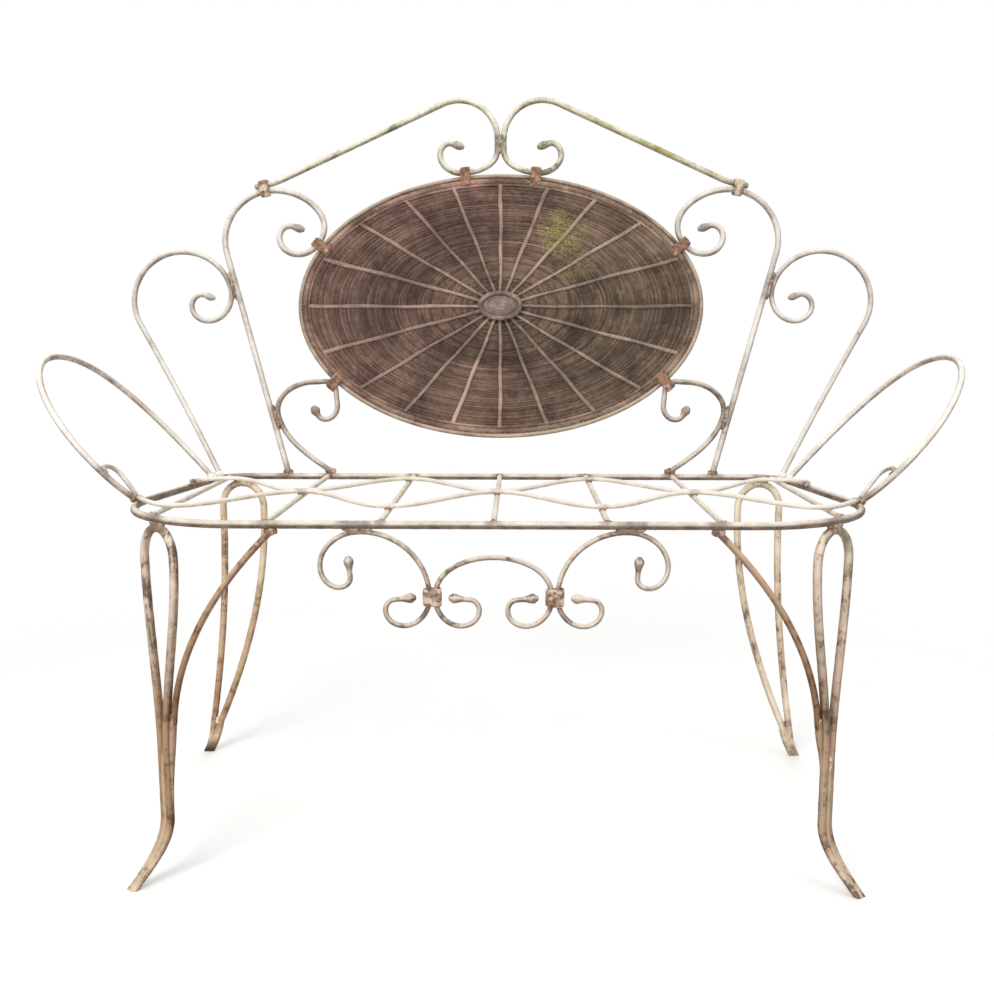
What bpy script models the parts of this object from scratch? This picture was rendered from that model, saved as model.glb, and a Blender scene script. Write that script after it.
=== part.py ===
# Wrought iron garden bench with a woven oval in its back.
# Metres, +Z up, the sitter faces -Y, origin on the ground under the middle.
import bmesh
import bpy
from math import acos, asin, atan2, ceil, cos, degrees, pi, radians, sin, sqrt, tan
from mathutils import Matrix, Vector

# Bar diameters
FRAME_BAR = 0.0095  # seat ring
LEG_BAR = 0.0105
BACK_BAR = 0.009  # posts and crest scrolls
RING_BAR = 0.0065  # oval ring
SCROLL_BAR = 0.008  # side and lower scrolls, arms and braces
CROSSBAR = 0.007
ROD = 0.006  # apron and seat waves
RIM_BAR = 0.008  # hoop of the woven panel

# Fits
WELD_GAP = 0.0003  # left between pieces that touch
COLLAR_WALL = 0.002
COLLAR_LENGTH = 0.015
COLLAR_SAG = 0.0008  # room in a collar for the bend of the ring
SIDE_BY_SIDE = 1.6  # bars within this many diameters are held by one collar
SLANT_CUT = 1.2  # a bar that passes at a slant takes a little more room

# Seat ring, by its axis; the widths follow from the oval and the posts
SEAT_HEIGHT = 0.450
SEAT_DEPTH = 0.420
SIDE_FLARE = 8.5  # degrees that each side opens towards the front
FRONT_CORNER = 0.160
REAR_CORNER = 0.045
REAR_OVERHANG = 0.059  # straight rear rail outside a post

# Seat filling
BAYS_PER_SIDE = 2  # crossbar bays on each side of the middle bar
CROSSBAR_PITCH = 0.129
END_BAR_OUT = 0.026  # end bar outside the straight rear rail
WAVE_INSET = 0.088  # crest of a wave to the rail beside it

# Back, in its own leaning plane: across from the middle, up from the rear rail
RECLINE = 8.0
OVAL_HALF_WIDTH = 0.3015
OVAL_HALF_HEIGHT = 0.195
OVAL_CENTRE = 0.2565
OVAL_POINTS = 60

CREST_ANGLE = 80.0  # where the crest scroll sits on the oval
CREST_WAIST = 0.051  # from that seat up to where the two scrolls meet
CREST_WELD = 0.016  # straight length along which they meet
CREST_LOOP = 0.058
CREST_LAP_WAY = 169.0  # direction of the crest's end where it lies on the post's loop
CREST_LAP = 0.030  # length over which it bends on to the loop
CREST_OVERHANG = 0.012  # end of the crest past the post
CREST_CURL = (0.043, 0.010, 205.0)  # first radius, last radius, turn

POST_ANGLE = 27.0
POST_STANCE = 0.0165  # foot of the post outside the oval's width
POST_LOOP = 0.075
POST_LOOP_OUT = 0.066  # loop centre from its seat on the oval
POST_LOOP_UP = 0.006
POST_CURL = (0.044, 0.012, 250.0)

SIDE_CONTACT = 0.288  # height at which the side scroll meets the post
SIDE_LOOP = 0.073
SIDE_LOOP_DROP = 0.020
SIDE_CORNER_ANGLE = 26.0  # where its foot stands on the rear corner
SIDE_FADE = 0.200  # height at which it has come into the back's plane
SIDE_CURL = (0.048, 0.012, 305.0)

LOWER_ANGLE = -35.0
LOWER_CONTACT = 0.088
LOWER_RUN = 0.079  # foot to contact, along the rail
LOWER_SLOPE = 34.0
LOWER_TOP_IN = 0.054  # top of the scroll from its contact with the post
LOWER_TOP_UP = 0.052
LOWER_NECK = (0.013, 0.013, 41.0)  # tight turn away from the oval
LOWER_TAIL = 0.022  # straight from there into the curl
LOWER_CURL = (0.025, 0.011, 155.0)

# Woven panel
PANEL_THICK = 0.004
SPOKES = 20
SPOKE_SQUASH = 0.81  # spokes fan out evenly on an oval of this shape
SPOKE_WIDTH = 0.0075
SPOKE_ROOT = 0.0052
SPOKE_THICK = 0.0022
HUB_HALF_WIDTH = 0.030
HUB_HALF_HEIGHT = 0.019
HUB_BAR = 0.007

# Arms, in a plane that leans out from the side of the seat
ARM_LEAN = 40.0
ARM_FOOT_ANGLE = -4.0  # front foot on the front corner
ARM_START = 124.0  # direction in which the front foot rises
ARM_END = -83.0  # direction in which the rear foot comes down
ARM_BULGE = 0.030
ARM_BULGE_UP = 0.105
ARM_TOP_BACK = 0.088
ARM_TOP_UP = 0.238
HOOK_FOOT = 0.013
HOOK_TOP = 0.062
HOOK_BEND = 0.018

# Legs: hairpins whose limbs close up and run on as a pair
LEG_CORNER_ANGLE = -52.0  # where a front leg hangs from the front corner
LEG_SHOULDER = 0.036
LEG_HALF = 0.029
LEG_PAIR = 0.285  # seat axis down to where the limbs meet
LEG_SPLAY = 0.007  # the pair's shift towards the side of the bench
LEG_KNEE = 0.366  # seat axis down to where the toe begins
TOE_KICK = 0.042
TOE_ASIDE = 0.016  # toe's shift towards the side of the bench
TOE_SLOPE = 50.0
TOE_TAPER = 0.7  # limb at the ground, in its own diameters
REAR_LEG_ANGLE = 73.0  # where a rear leg hangs from the rear corner
REAR_RAKE = 4.5
REAR_HALF = 0.031
REAR_SPREAD = 0.066
REAR_KNEE = 0.398  # where the inner limb has come across to the outer one
REAR_LIMB_WAY = -80.0
REAR_JOIN_WAY = -66.0  # way that the inner limb comes in
REAR_TOE_OUT = 0.016
REAR_TOE_SLOPE = 60.0
BRACE_INSET = 0.041
BRACE_START = -44.0
BRACE_END_HEIGHT = 0.205

# Apron under the front rail, by its rods' axes
APRON_TOP = 0.150  # where a scroll hangs from the rail
APRON_WAIST = 0.0695  # middle of a collar
APRON_DROP = 0.083
ARCH_TOP = 0.037  # top of the arch below the rail's axis
APRON_OUTER_CURL = (0.058, 0.0085, -275.0)
APRON_LOWER_CURL = (0.040, 0.0095, 265.0)
APRON_COLLAR = 0.021
LEAF_LENGTH = 0.015

# Mesh fineness
SAGITTA = 0.0006  # most that a facet along a bar may stand off its curve
TURN_STEP = 22.0  # most degrees of bend in one facet
BAR_SIDES = 8
ROD_SIDES = 6
WAVE_POINTS = 40
WAVE_TRIES = 40  # steps per bay in the search for a wave's end
HUB_POINTS = 24

# Colours and finishes: base colour, roughness, metallic
CREAM_PAINT = ((0.56, 0.47, 0.37, 1.0), 0.72, 0.1)
TAN_PAINT = ((0.52, 0.38, 0.25, 1.0), 0.75, 0.1)
RUST = ((0.26, 0.13, 0.07, 1.0), 0.85, 0.2)
CANE = ((0.30, 0.23, 0.18, 1.0), 0.85, 0.0)
WEAVE = ((0.13, 0.10, 0.08, 1.0), 0.9, 0.0)

# Knob and leaf ends: distance in bar diameters, swell
KNOB = ((0.5, 1.2), (1.0, 1.4), (1.5, 1.35), (1.9, 0.8))
BALL = ((0.4, 1.3), (0.8, 1.75), (1.3, 1.8), (1.75, 1.1))
LEAF = ((0.7, 1.25), (1.6, 1.75), (2.3, 1.6), (2.6, 0.7))

# Angles of the ring's corner arcs, seen from above
FRONT_TURN = 90.0 + SIDE_FLARE
REAR_TURN = 90.0 - SIDE_FLARE


def toward(angle):
    return Vector((cos(radians(angle)), sin(radians(angle)), 0.0))


def facets(turn, radius):
    """How many straight facets stand in for a bend of this many degrees."""
    step = min(TURN_STEP, degrees(2.0 * acos(1.0 - SAGITTA / radius)))
    return max(2, ceil(abs(turn) / step))


class Path:
    """Axis of one bar: points, the swell of the bar at each, and the way it runs."""

    def __init__(self, start, way):
        self.points = [Vector(start)]
        self.swell = [1.0]
        self.way = Vector(way).normalized()

    def add(self, point, swell=None):
        self.points.append(Vector(point))
        self.swell.append(self.swell[-1] if swell is None else swell)

    def line(self, end, pieces=1):
        start = self.points[-1]
        for i in range(1, pieces + 1):
            self.add(start.lerp(Vector(end), i / pieces))
        self.way = (Vector(end) - start).normalized()

    def run(self, distance):
        """Straight on."""
        self.add(self.points[-1] + self.way * distance)

    def bend(self, end, way, swell=1.0):
        """A cubic bend, near to an arc, that arrives at end along way and with this swell."""
        start, end, way = self.points[-1], Vector(end), Vector(way).normalized()
        chord = end - start
        reach = chord.length / (3.0 * cos(self.way.angle(way) / 4.0) ** 2)
        turn = self.way.angle(chord) + chord.angle(way)
        count = facets(degrees(turn), chord.length / max(2.0 * sin(turn / 2.0), SAGITTA))
        first, second = start + self.way * reach, end - way * reach
        grow = swell - self.swell[-1]
        for i in range(1, count + 1):
            t = i / count
            s = 1.0 - t
            spot = start * s**3 + first * 3 * s * s * t + second * 3 * s * t * t + end * t**3
            self.add(spot, swell - grow * s * s * (1.0 + 2.0 * t))
        self.way = way

    def curl(self, first_radius, last_radius, turn):
        """A spiral to the left (or right, for a negative turn) whose radius shrinks steadily."""
        count = facets(turn, sqrt(first_radius * last_radius))
        step = turn / count
        for i in range(count):
            radius = first_radius * (last_radius / first_radius) ** ((i + 0.5) / count)
            half = Matrix.Rotation(radians(step / 2), 3, "Z")
            self.way = half @ self.way
            self.add(self.points[-1] + self.way * 2 * radius * sin(radians(abs(step)) / 2))
            self.way = half @ self.way

    def tip(self, profile, diameter):
        start = self.points[-1].copy()
        for distance, swell in profile:
            self.add(start + self.way * distance * diameter, swell)

    def beside(self, diameter):
        """Points and swells of a second bar that lies against this one, on its right."""
        ways = [(b - a).normalized() for a, b in zip(self.points, self.points[1:])]
        spots = []
        for point, swell, before, after in zip(self.points, self.swell, ways[:1] + ways, ways + ways[-1:]):
            way = (before + after).normalized()
            off = (diameter * swell + WELD_GAP) / before.dot(way)
            spots.append((point + Vector((way.y, -way.x, 0.0)) * off, swell))
        return spots

    def mirrored(self):
        other = Path(self.points[0], self.way)
        other.points = [Vector((-p.x, p.y, p.z)) for p in self.points]
        other.swell = list(self.swell)
        return other

    def joined(self, other):
        """Both paths as one, with this one run backwards first; they share their start."""
        whole = Path(self.points[-1], self.way)
        whole.points = self.points[:0:-1] + other.points
        whole.swell = self.swell[:0:-1] + other.swell
        return whole


def clear_scene():
    for obj in list(bpy.data.objects):
        bpy.data.objects.remove(obj)


def finish_of(name, finish):
    colour, roughness, metallic = finish
    material = bpy.data.materials.new(name)
    material.use_nodes = True
    shader = material.node_tree.nodes["Principled BSDF"]
    shader.inputs["Base Color"].default_value = colour
    shader.inputs["Roughness"].default_value = roughness
    shader.inputs["Metallic"].default_value = metallic
    material.diffuse_color = colour
    return material


def place(name, data, holder, finish):
    data.materials.append(finish_of(name, finish))
    obj = bpy.data.objects.new(name, data)
    bpy.context.scene.collection.objects.link(obj)
    obj.parent = holder
    return obj


def frame(name, origin, across, up, parent):
    """An empty whose X runs across and whose Y runs up."""
    x = Vector(across).normalized()
    y = (Vector(up) - x * Vector(up).dot(x)).normalized()
    z = x.cross(y)
    empty = bpy.data.objects.new(name, None)
    bpy.context.scene.collection.objects.link(empty)
    turn = Matrix((x, y, z)).transposed().to_4x4()
    empty.matrix_basis = Matrix.Translation(Vector(origin)) @ turn
    empty.parent = parent
    return empty


def bar(name, path, diameter, holder, finish, sides=BAR_SIDES, closed=False):
    """A round bar along a path."""
    curve = bpy.data.curves.new(name, "CURVE")
    curve.dimensions = "3D"
    curve.twist_mode = "Z_UP"
    curve.bevel_depth = diameter / 2
    curve.bevel_resolution = int(sides / 2) - 2
    curve.use_fill_caps = True
    spline = curve.splines.new("POLY")
    spline.points.add(len(path.points) - 1)
    for point, at, swell in zip(spline.points, path.points, path.swell):
        point.co = (at.x, at.y, at.z, 1.0)
        point.radius = swell
    spline.use_cyclic_u = closed
    spline.use_smooth = True
    return place(name, curve, holder, finish)


def pair(name, path, diameter, holder, finish, sides=BAR_SIDES):
    """A bar on the right and its mirror image on the left."""
    bar(name + "_right", path, diameter, holder, finish, sides)
    bar(name + "_left", path.mirrored(), diameter, holder, finish, sides)


def cut_at_ground(obj):
    """The bar as a mesh, cut flat where its two ends meet the ground."""
    bpy.context.view_layer.update()
    graph = bpy.context.evaluated_depsgraph_get()
    mesh = bpy.data.meshes.new_from_object(obj.evaluated_get(graph))
    to_local = obj.matrix_world.inverted()
    normal = to_local.to_3x3() @ Vector((0.0, 0.0, 1.0))
    work = bmesh.new()
    work.from_mesh(mesh)
    bmesh.ops.remove_doubles(work, verts=work.verts, dist=1e-6)
    everything = work.verts[:] + work.edges[:] + work.faces[:]
    ground = to_local @ Vector((0.0, 0.0, 0.0))
    bmesh.ops.bisect_plane(work, geom=everything, plane_co=ground, plane_no=normal, clear_inner=True)
    bmesh.ops.edgeloop_fill(work, edges=[e for e in work.edges if e.is_boundary])
    bmesh.ops.recalc_face_normals(work, faces=work.faces)
    work.to_mesh(mesh)
    work.free()
    name, holder = obj.name, obj.parent
    curve = obj.data
    bpy.data.objects.remove(obj)
    bpy.data.curves.remove(curve)
    mesh.name = name
    leg = bpy.data.objects.new(name, mesh)
    bpy.context.scene.collection.objects.link(leg)
    leg.parent = holder
    mesh.shade_smooth()
    mesh.set_sharp_from_angle(angle=radians(50))


def extruded(name, outline, height, holder, finish, lift=0.0):
    """A flat outline given thickness along the holder's Z, with its middle at lift."""
    work = bmesh.new()
    verts = [work.verts.new((p.x, p.y, lift - height / 2)) for p in outline]
    face = work.faces.new(verts)
    grown = bmesh.ops.extrude_face_region(work, geom=[face])
    moved = [g for g in grown["geom"] if isinstance(g, bmesh.types.BMVert)]
    bmesh.ops.translate(work, verts=moved, vec=(0.0, 0.0, height))
    bmesh.ops.recalc_face_normals(work, faces=work.faces)
    mesh = bpy.data.meshes.new(name)
    work.to_mesh(mesh)
    work.free()
    return place(name, mesh, holder, finish)


def reach_across(path, diameter, centre, along, across, length):
    """How far a bar reaches, each way across, inside a collar of this length."""
    reach = []
    for a, b in zip(path.points, path.points[1:]):
        da, db = (a - centre).dot(along), (b - centre).dot(along)
        spots = [a] if abs(da) <= length / 2 else []
        for edge in (-length / 2, length / 2):
            if (da - edge) * (db - edge) < 0.0:
                spots.append(a.lerp(b, (edge - da) / (db - da)))
        reach += [(spot - centre).dot(across) for spot in spots]
    beside = [r for r in reach if abs(r) < diameter * SIDE_BY_SIDE]
    half = diameter / 2 * SLANT_CUT
    return min(beside) - half, max(beside) + half


def stadium(low, high, half, segments=6):
    """Outline with round ends, from low to high across and half to each side."""
    points = []
    for middle, start in ((high - half, -90.0), (low + half, 90.0)):
        for i in range(segments + 1):
            angle = start + 180.0 * i / segments
            points.append(toward(angle) * half + Vector((middle, 0.0, 0.0)))
    return points


def collar(name, centre, along, bars, length, holder):
    """A band bent round bars that lie side by side; along is the way that they run."""
    along = Vector(along).normalized()
    across = Vector((along.y, -along.x, 0.0))
    reaches = [reach_across(p, d, centre, along, across, length) for p, d in bars]
    low = min(r[0] for r in reaches) - WELD_GAP
    high = max(r[1] for r in reaches) + WELD_GAP
    half = max(d for _, d in bars) / 2 + WELD_GAP
    work = bmesh.new()
    loops = []
    for grow in (0.0, COLLAR_WALL):
        outline = stadium(low - grow, high + grow, half + grow)
        spots = [centre + across * p.x + Vector((0, 0, p.y)) - along * length / 2 for p in outline]
        verts = [work.verts.new(s) for s in spots]
        loops.append([work.edges.new((a, b)) for a, b in zip(verts, verts[1:] + verts[:1])])
    ring = bmesh.ops.bridge_loops(work, edges=loops[0] + loops[1])
    grown = bmesh.ops.extrude_face_region(work, geom=ring["faces"])
    moved = [g for g in grown["geom"] if isinstance(g, bmesh.types.BMVert)]
    bmesh.ops.translate(work, verts=moved, vec=along * length)
    bmesh.ops.recalc_face_normals(work, faces=work.faces)
    mesh = bpy.data.meshes.new(name)
    work.to_mesh(mesh)
    work.free()
    mesh.shade_smooth()
    mesh.set_sharp_from_angle(angle=radians(50))
    return place(name, mesh, holder, RUST)


def collar_pair(name, centre, along, bars, length, holder):
    collar(name + "_right", centre, along, bars, length, holder)
    flip = Vector((-1.0, 1.0, 1.0))
    mirrored = [(p.mirrored(), d) for p, d in bars]
    collar(name + "_left", centre * flip, Vector(along) * flip, mirrored, length, holder)


# Sizes of the seat ring that follow from the driving ones
POST_FOOT = OVAL_HALF_WIDTH + POST_STANCE
REAR_STRAIGHT = POST_FOOT + REAR_OVERHANG
REAR_VERTEX = REAR_STRAIGHT + REAR_CORNER * tan(radians(REAR_TURN / 2))
FRONT_VERTEX = REAR_VERTEX + SEAT_DEPTH * tan(radians(SIDE_FLARE))
FRONT_STRAIGHT = FRONT_VERTEX - FRONT_CORNER * tan(radians(FRONT_TURN / 2))
RING_SEAT = FRAME_BAR / 2 + WELD_GAP  # from the ring's axis to what stands on it
LEG_TOP = -RING_SEAT - LEG_BAR / 2  # axis of a leg under the ring
HOOP_INSET = (RING_BAR + RIM_BAR) / 2 + WELD_GAP  # panel's hoop inside the oval ring


def front_corner(angle):
    """Point of the ring's axis on its front right corner; -90 is the front rail's end."""
    return Vector((FRONT_STRAIGHT, FRONT_CORNER, 0.0)) + toward(angle) * FRONT_CORNER


def rear_corner(angle):
    """Point of the ring's axis on its rear right corner; 90 is the rear rail's end."""
    centre = Vector((REAR_STRAIGHT, SEAT_DEPTH - REAR_CORNER, 0.0))
    return centre + toward(angle) * REAR_CORNER


def ring_half_width(y):
    """Half the width of the ring's axis at this distance behind the front rail."""
    if y < front_corner(SIDE_FLARE).y:
        return FRONT_STRAIGHT + sqrt(FRONT_CORNER**2 - (FRONT_CORNER - y) ** 2)
    if y > rear_corner(SIDE_FLARE).y:
        return REAR_STRAIGHT + sqrt(REAR_CORNER**2 - (y - SEAT_DEPTH + REAR_CORNER) ** 2)
    return FRONT_VERTEX - y * tan(radians(SIDE_FLARE))


def ring_path():
    right = []
    for corner, radius, first, last in (
        (front_corner, FRONT_CORNER, -90.0, SIDE_FLARE),
        (rear_corner, REAR_CORNER, SIDE_FLARE, 90.0),
    ):
        count = facets(last - first, radius)
        right += [corner(first + (last - first) * i / count) for i in range(count + 1)]
    path = Path(right[0], (1.0, 0.0, 0.0))
    for point in right[1:]:
        path.add(point)
    for point in reversed(right):
        path.add((-point.x, point.y, 0.0))
    return path


def rail_ends(x, radius):
    """Where a front-to-back bar of this radius stops short of the front and rear rails."""
    ends = []
    for straight, corner, rail, inward in (
        (FRONT_STRAIGHT, FRONT_CORNER, 0.0, 1.0),
        (REAR_STRAIGHT, REAR_CORNER, SEAT_DEPTH, -1.0),
    ):
        slant = asin(max(0.0, abs(x) - straight) / corner)
        sag = corner * (1.0 - cos(slant)) + (SAGITTA if slant > 0.0 else 0.0)
        ends.append(rail + inward * (sag + RING_SEAT / cos(slant) + radius * tan(slant)))
    return ends


def make_seat(holder):
    bar("seat_ring", ring_path(), FRAME_BAR, holder, CREAM_PAINT, closed=True)
    lift = (FRAME_BAR - CROSSBAR) / 2
    spots = [i * CROSSBAR_PITCH for i in range(-BAYS_PER_SIDE, BAYS_PER_SIDE + 1)]
    names = [f"seat_crossbar_{i + 1}" for i in range(len(spots))]
    end_bar = REAR_STRAIGHT + END_BAR_OUT
    spots += [-end_bar, end_bar]
    names += ["seat_end_bar_left", "seat_end_bar_right"]
    for name, x in zip(names, spots):
        front, rear = rail_ends(x, CROSSBAR / 2)
        path = Path((x, front, lift), (0.0, 1.0, 0.0))
        path.line((x, rear, lift))
        bar(name, path, CROSSBAR, holder, CREAM_PAINT)
    bar("seat_wave_rear", wave_path(1.0), ROD, holder, CREAM_PAINT, ROD_SIDES)
    bar("seat_wave_front", wave_path(-1.0), ROD, holder, CREAM_PAINT, ROD_SIDES)


def wave_path(side):
    """A rod that swings from the middle of the seat to one rail and back, once in two bays."""
    middle = SEAT_DEPTH / 2 + side * (ROD + WELD_GAP) / 2
    swing = SEAT_DEPTH / 2 - WAVE_INSET
    lift = FRAME_BAR / 2 + WELD_GAP + ROD / 2

    def depth(x):
        return middle + side * swing / 2 * (1.0 - cos(pi * x / CROSSBAR_PITCH))

    reach = BAYS_PER_SIDE * CROSSBAR_PITCH
    while reach + ROD / 2 < ring_half_width(depth(reach)):
        reach += CROSSBAR_PITCH / WAVE_TRIES
    start = (-reach, depth(-reach), lift)
    path = Path(start, (1.0, 0.0, 0.0))
    for i in range(1, WAVE_POINTS + 1):
        x = -reach + 2 * reach * i / WAVE_POINTS
        path.add((x, depth(x), lift))
    return path


def oval(angle, out=0.0):
    """Point at this distance outside the oval ring's axis, and the way outwards there."""
    c, s = cos(radians(angle)), sin(radians(angle))
    normal = Vector((OVAL_HALF_HEIGHT * c, OVAL_HALF_WIDTH * s, 0.0)).normalized()
    centre = Vector((0.0, OVAL_CENTRE, 0.0))
    return centre + Vector((OVAL_HALF_WIDTH * c, OVAL_HALF_HEIGHT * s, 0.0)) + normal * out, normal


def oval_path(out):
    points = [oval(360.0 * i / OVAL_POINTS, out)[0] for i in range(OVAL_POINTS)]
    path = Path(points[0], (0.0, 1.0, 0.0))
    for point in points[1:]:
        path.add(point)
    return path


def oval_seat(angle, diameter):
    """Where a bar lies against the outside of the oval ring, and its clockwise way there."""
    point, normal = oval(angle, (RING_BAR + diameter) / 2 + WELD_GAP)
    return point, Vector((normal.y, -normal.x, 0.0))


def tangent_way(start, centre, radius):
    """Direction, in degrees, from start along a line that passes a circle on its right."""
    to_centre = centre - start
    return degrees(atan2(to_centre.y, to_centre.x) - asin(radius / to_centre.length))


def on_circle(centre, radius, way):
    """Point where a left-hand circle runs in this direction."""
    return centre + toward(way - 90.0) * radius


def foot_height(diameter, way):
    """Height of a slanting bar's end above the axis of the rail that it stands on."""
    return RING_SEAT + diameter / 2 * abs(cos(radians(way)))


def post_line():
    """Centre of the post's loop and the direction of its straight stem."""
    seat, _ = oval_seat(POST_ANGLE, BACK_BAR)
    centre = seat + Vector((POST_LOOP_OUT, POST_LOOP_UP, 0.0))
    return centre, tangent_way(Vector((POST_FOOT, 0.0, 0.0)), centre, POST_LOOP)


def beside_post(height, side):
    """Axis of a scroll bar that touches the stem of the post at this height."""
    _, way = post_line()
    stem = Vector((POST_FOOT + height / tan(radians(way)), height, 0.0))
    return stem + toward(way - 90.0) * side * ((BACK_BAR + SCROLL_BAR) / 2 + WELD_GAP)


def post_path():
    centre, way = post_line()
    seat, seat_way = oval_seat(POST_ANGLE, BACK_BAR)
    rise = foot_height(BACK_BAR, way)
    path = Path((POST_FOOT + rise / tan(radians(way)), rise, 0.0), toward(way))
    path.line(on_circle(centre, POST_LOOP, way))
    path.curl(POST_LOOP, POST_LOOP, 180.0 - way)
    path.bend(seat, seat_way)
    path.curl(*POST_CURL)
    path.tip(KNOB, BACK_BAR)
    return path


def crest_line():
    """Centre of the crest's loop, and where its other end lies on the post's loop."""
    seat, _ = oval_seat(CREST_ANGLE, BACK_BAR)
    half = (BACK_BAR + WELD_GAP) / 2
    centre = Vector((half + CREST_LOOP, seat.y + CREST_WAIST, 0.0))
    post_centre, _ = post_line()
    return centre, on_circle(post_centre, POST_LOOP + BACK_BAR + WELD_GAP, CREST_LAP_WAY)


def crest_path():
    centre, contact = crest_line()
    seat, seat_way = oval_seat(CREST_ANGLE, BACK_BAR)
    lap_way = toward(CREST_LAP_WAY)
    path = Path(contact - lap_way * CREST_OVERHANG, lap_way)
    path.run(CREST_OVERHANG)
    straight_way = tangent_way(contact, centre, CREST_LOOP)
    leave = contact + toward((CREST_LAP_WAY + straight_way) / 2) * CREST_LAP
    straight_way = tangent_way(leave, centre, CREST_LOOP)
    path.bend(leave, toward(straight_way))
    path.line(on_circle(centre, CREST_LOOP, straight_way))
    path.curl(CREST_LOOP, CREST_LOOP, 270.0 - straight_way)
    path.run(CREST_WELD)
    path.bend(seat, seat_way)
    path.curl(*CREST_CURL)
    path.tip(KNOB, BACK_BAR)
    return path


def side_path():
    """The outer scroll: its foot stands on the seat's rear corner, ahead of the back's plane."""
    stand = rear_corner(SIDE_CORNER_ANGLE)
    contact = beside_post(SIDE_CONTACT, 1.0)
    _, stem_way = post_line()
    centre = contact + Vector((SIDE_LOOP, -SIDE_LOOP_DROP, 0.0))
    behind = stand.y - SEAT_DEPTH
    slant = radians(RECLINE)
    way = tangent_way(Vector((stand.x, 0.0, 0.0)), centre, SIDE_LOOP)
    rise = foot_height(SCROLL_BAR, way)
    foot = Vector((stand.x, behind * sin(slant) + rise * cos(slant), 0.0))
    ahead = rise * sin(slant) - behind * cos(slant)
    way = tangent_way(foot, centre, SIDE_LOOP)
    path = Path(foot, toward(way))
    path.line(on_circle(centre, SIDE_LOOP, way), pieces=7)
    path.curl(SIDE_LOOP, SIDE_LOOP, 180.0 - way)
    path.bend(contact, toward(stem_way + 180.0))
    path.curl(*SIDE_CURL)
    path.tip(KNOB, SCROLL_BAR)
    for point in path.points:
        left = max(0.0, SIDE_FADE - point.y) / (SIDE_FADE - foot.y)
        point.z = ahead * left**2
    return path


def lower_path():
    contact = beside_post(LOWER_CONTACT, -1.0)
    _, stem_way = post_line()
    seat, seat_way = oval_seat(LOWER_ANGLE, SCROLL_BAR)
    rise = foot_height(SCROLL_BAR, LOWER_SLOPE)
    path = Path((contact.x - LOWER_RUN, rise, 0.0), toward(LOWER_SLOPE))
    path.run(SCROLL_BAR)
    path.bend(contact, toward(stem_way))
    path.bend(contact + Vector((-LOWER_TOP_IN, LOWER_TOP_UP, 0.0)), (-1.0, 0.0, 0.0))
    path.bend(seat, seat_way)
    path.curl(*LOWER_NECK)
    path.run(LOWER_TAIL)
    path.curl(*LOWER_CURL)
    path.tip(BALL, SCROLL_BAR)
    return path


def make_back(holder):
    ring, hoop = oval_path(0.0), oval_path(-HOOP_INSET)
    bar("oval_ring", ring, RING_BAR, holder, CREAM_PAINT, closed=True)
    bar("panel_rim", hoop, RIM_BAR, holder, CANE, closed=True)
    post, crest, lower = post_path(), crest_path(), lower_path()
    pair("back_post", post, BACK_BAR, holder, CREAM_PAINT)
    pair("crest_scroll", crest, BACK_BAR, holder, CREAM_PAINT)
    pair("side_scroll", side_path(), SCROLL_BAR, holder, CREAM_PAINT)
    pair("lower_scroll", lower, SCROLL_BAR, holder, CREAM_PAINT)
    for name, path, angle, diameter in (
        ("oval_collar_top", crest, CREST_ANGLE, BACK_BAR),
        ("oval_collar_side", post, POST_ANGLE, BACK_BAR),
        ("oval_collar_low", lower, LOWER_ANGLE, SCROLL_BAR),
    ):
        centre, normal = oval(angle)
        along = Vector((normal.y, -normal.x, 0.0))
        bars = [(ring, RING_BAR), (hoop, RIM_BAR), (path, diameter)]
        collar_pair(name, centre, along, bars, COLLAR_LENGTH, holder)
    _, contact = crest_line()
    bars = [(post, BACK_BAR), (crest, BACK_BAR)]
    collar_pair("crest_collar", contact, toward(CREST_LAP_WAY), bars, COLLAR_LENGTH, holder)


def make_panel(holder):
    """The woven field inside the hoop, cut back where the collars pass, with spokes and hub on it."""
    edge = HOOP_INSET + RIM_BAR / 2 + WELD_GAP
    behind_collar = HOOP_INSET + RIM_BAR / 2 * SLANT_CUT + COLLAR_SAG + COLLAR_WALL + 2 * WELD_GAP
    extruded("woven_panel", notched_oval(edge, behind_collar), PANEL_THICK, holder, WEAVE)
    spoke_lift = (PANEL_THICK + SPOKE_THICK) / 2 + WELD_GAP
    extruded("panel_spokes", star_outline(behind_collar), SPOKE_THICK, holder, CANE, spoke_lift)
    hub_lift = PANEL_THICK / 2 + SPOKE_THICK + 2 * WELD_GAP + HUB_BAR / 2
    hub = Path((HUB_HALF_WIDTH, OVAL_CENTRE, hub_lift), (0.0, 1.0, 0.0))
    for i in range(1, HUB_POINTS):
        way = toward(360.0 * i / HUB_POINTS)
        hub.add((HUB_HALF_WIDTH * way.x, OVAL_CENTRE + HUB_HALF_HEIGHT * way.y, hub_lift))
    bar("panel_hub", hub, HUB_BAR, holder, CANE, ROD_SIDES, closed=True)


def notched_oval(edge, deep):
    """Outline at one distance inside the ring's axis, and at a deeper one behind each collar."""
    spots = [(360.0 * i / OVAL_POINTS, edge) for i in range(OVAL_POINTS)]
    for right in (CREST_ANGLE, POST_ANGLE, LOWER_ANGLE):
        for angle in (right % 360.0, (180.0 - right) % 360.0):
            chord = oval(angle + 0.5, -deep)[0] - oval(angle - 0.5, -deep)[0]
            half = (COLLAR_LENGTH / 2 + 2 * WELD_GAP) / chord.length
            low, high = angle - half, angle + half
            spots = [spot for spot in spots if not low < spot[0] < high]
            spots += [(low, edge), (low, deep), (high, deep), (high, edge)]
    spots.sort(key=lambda spot: spot[0])
    return [oval(angle, -inset)[0] for angle, inset in spots]


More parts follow.
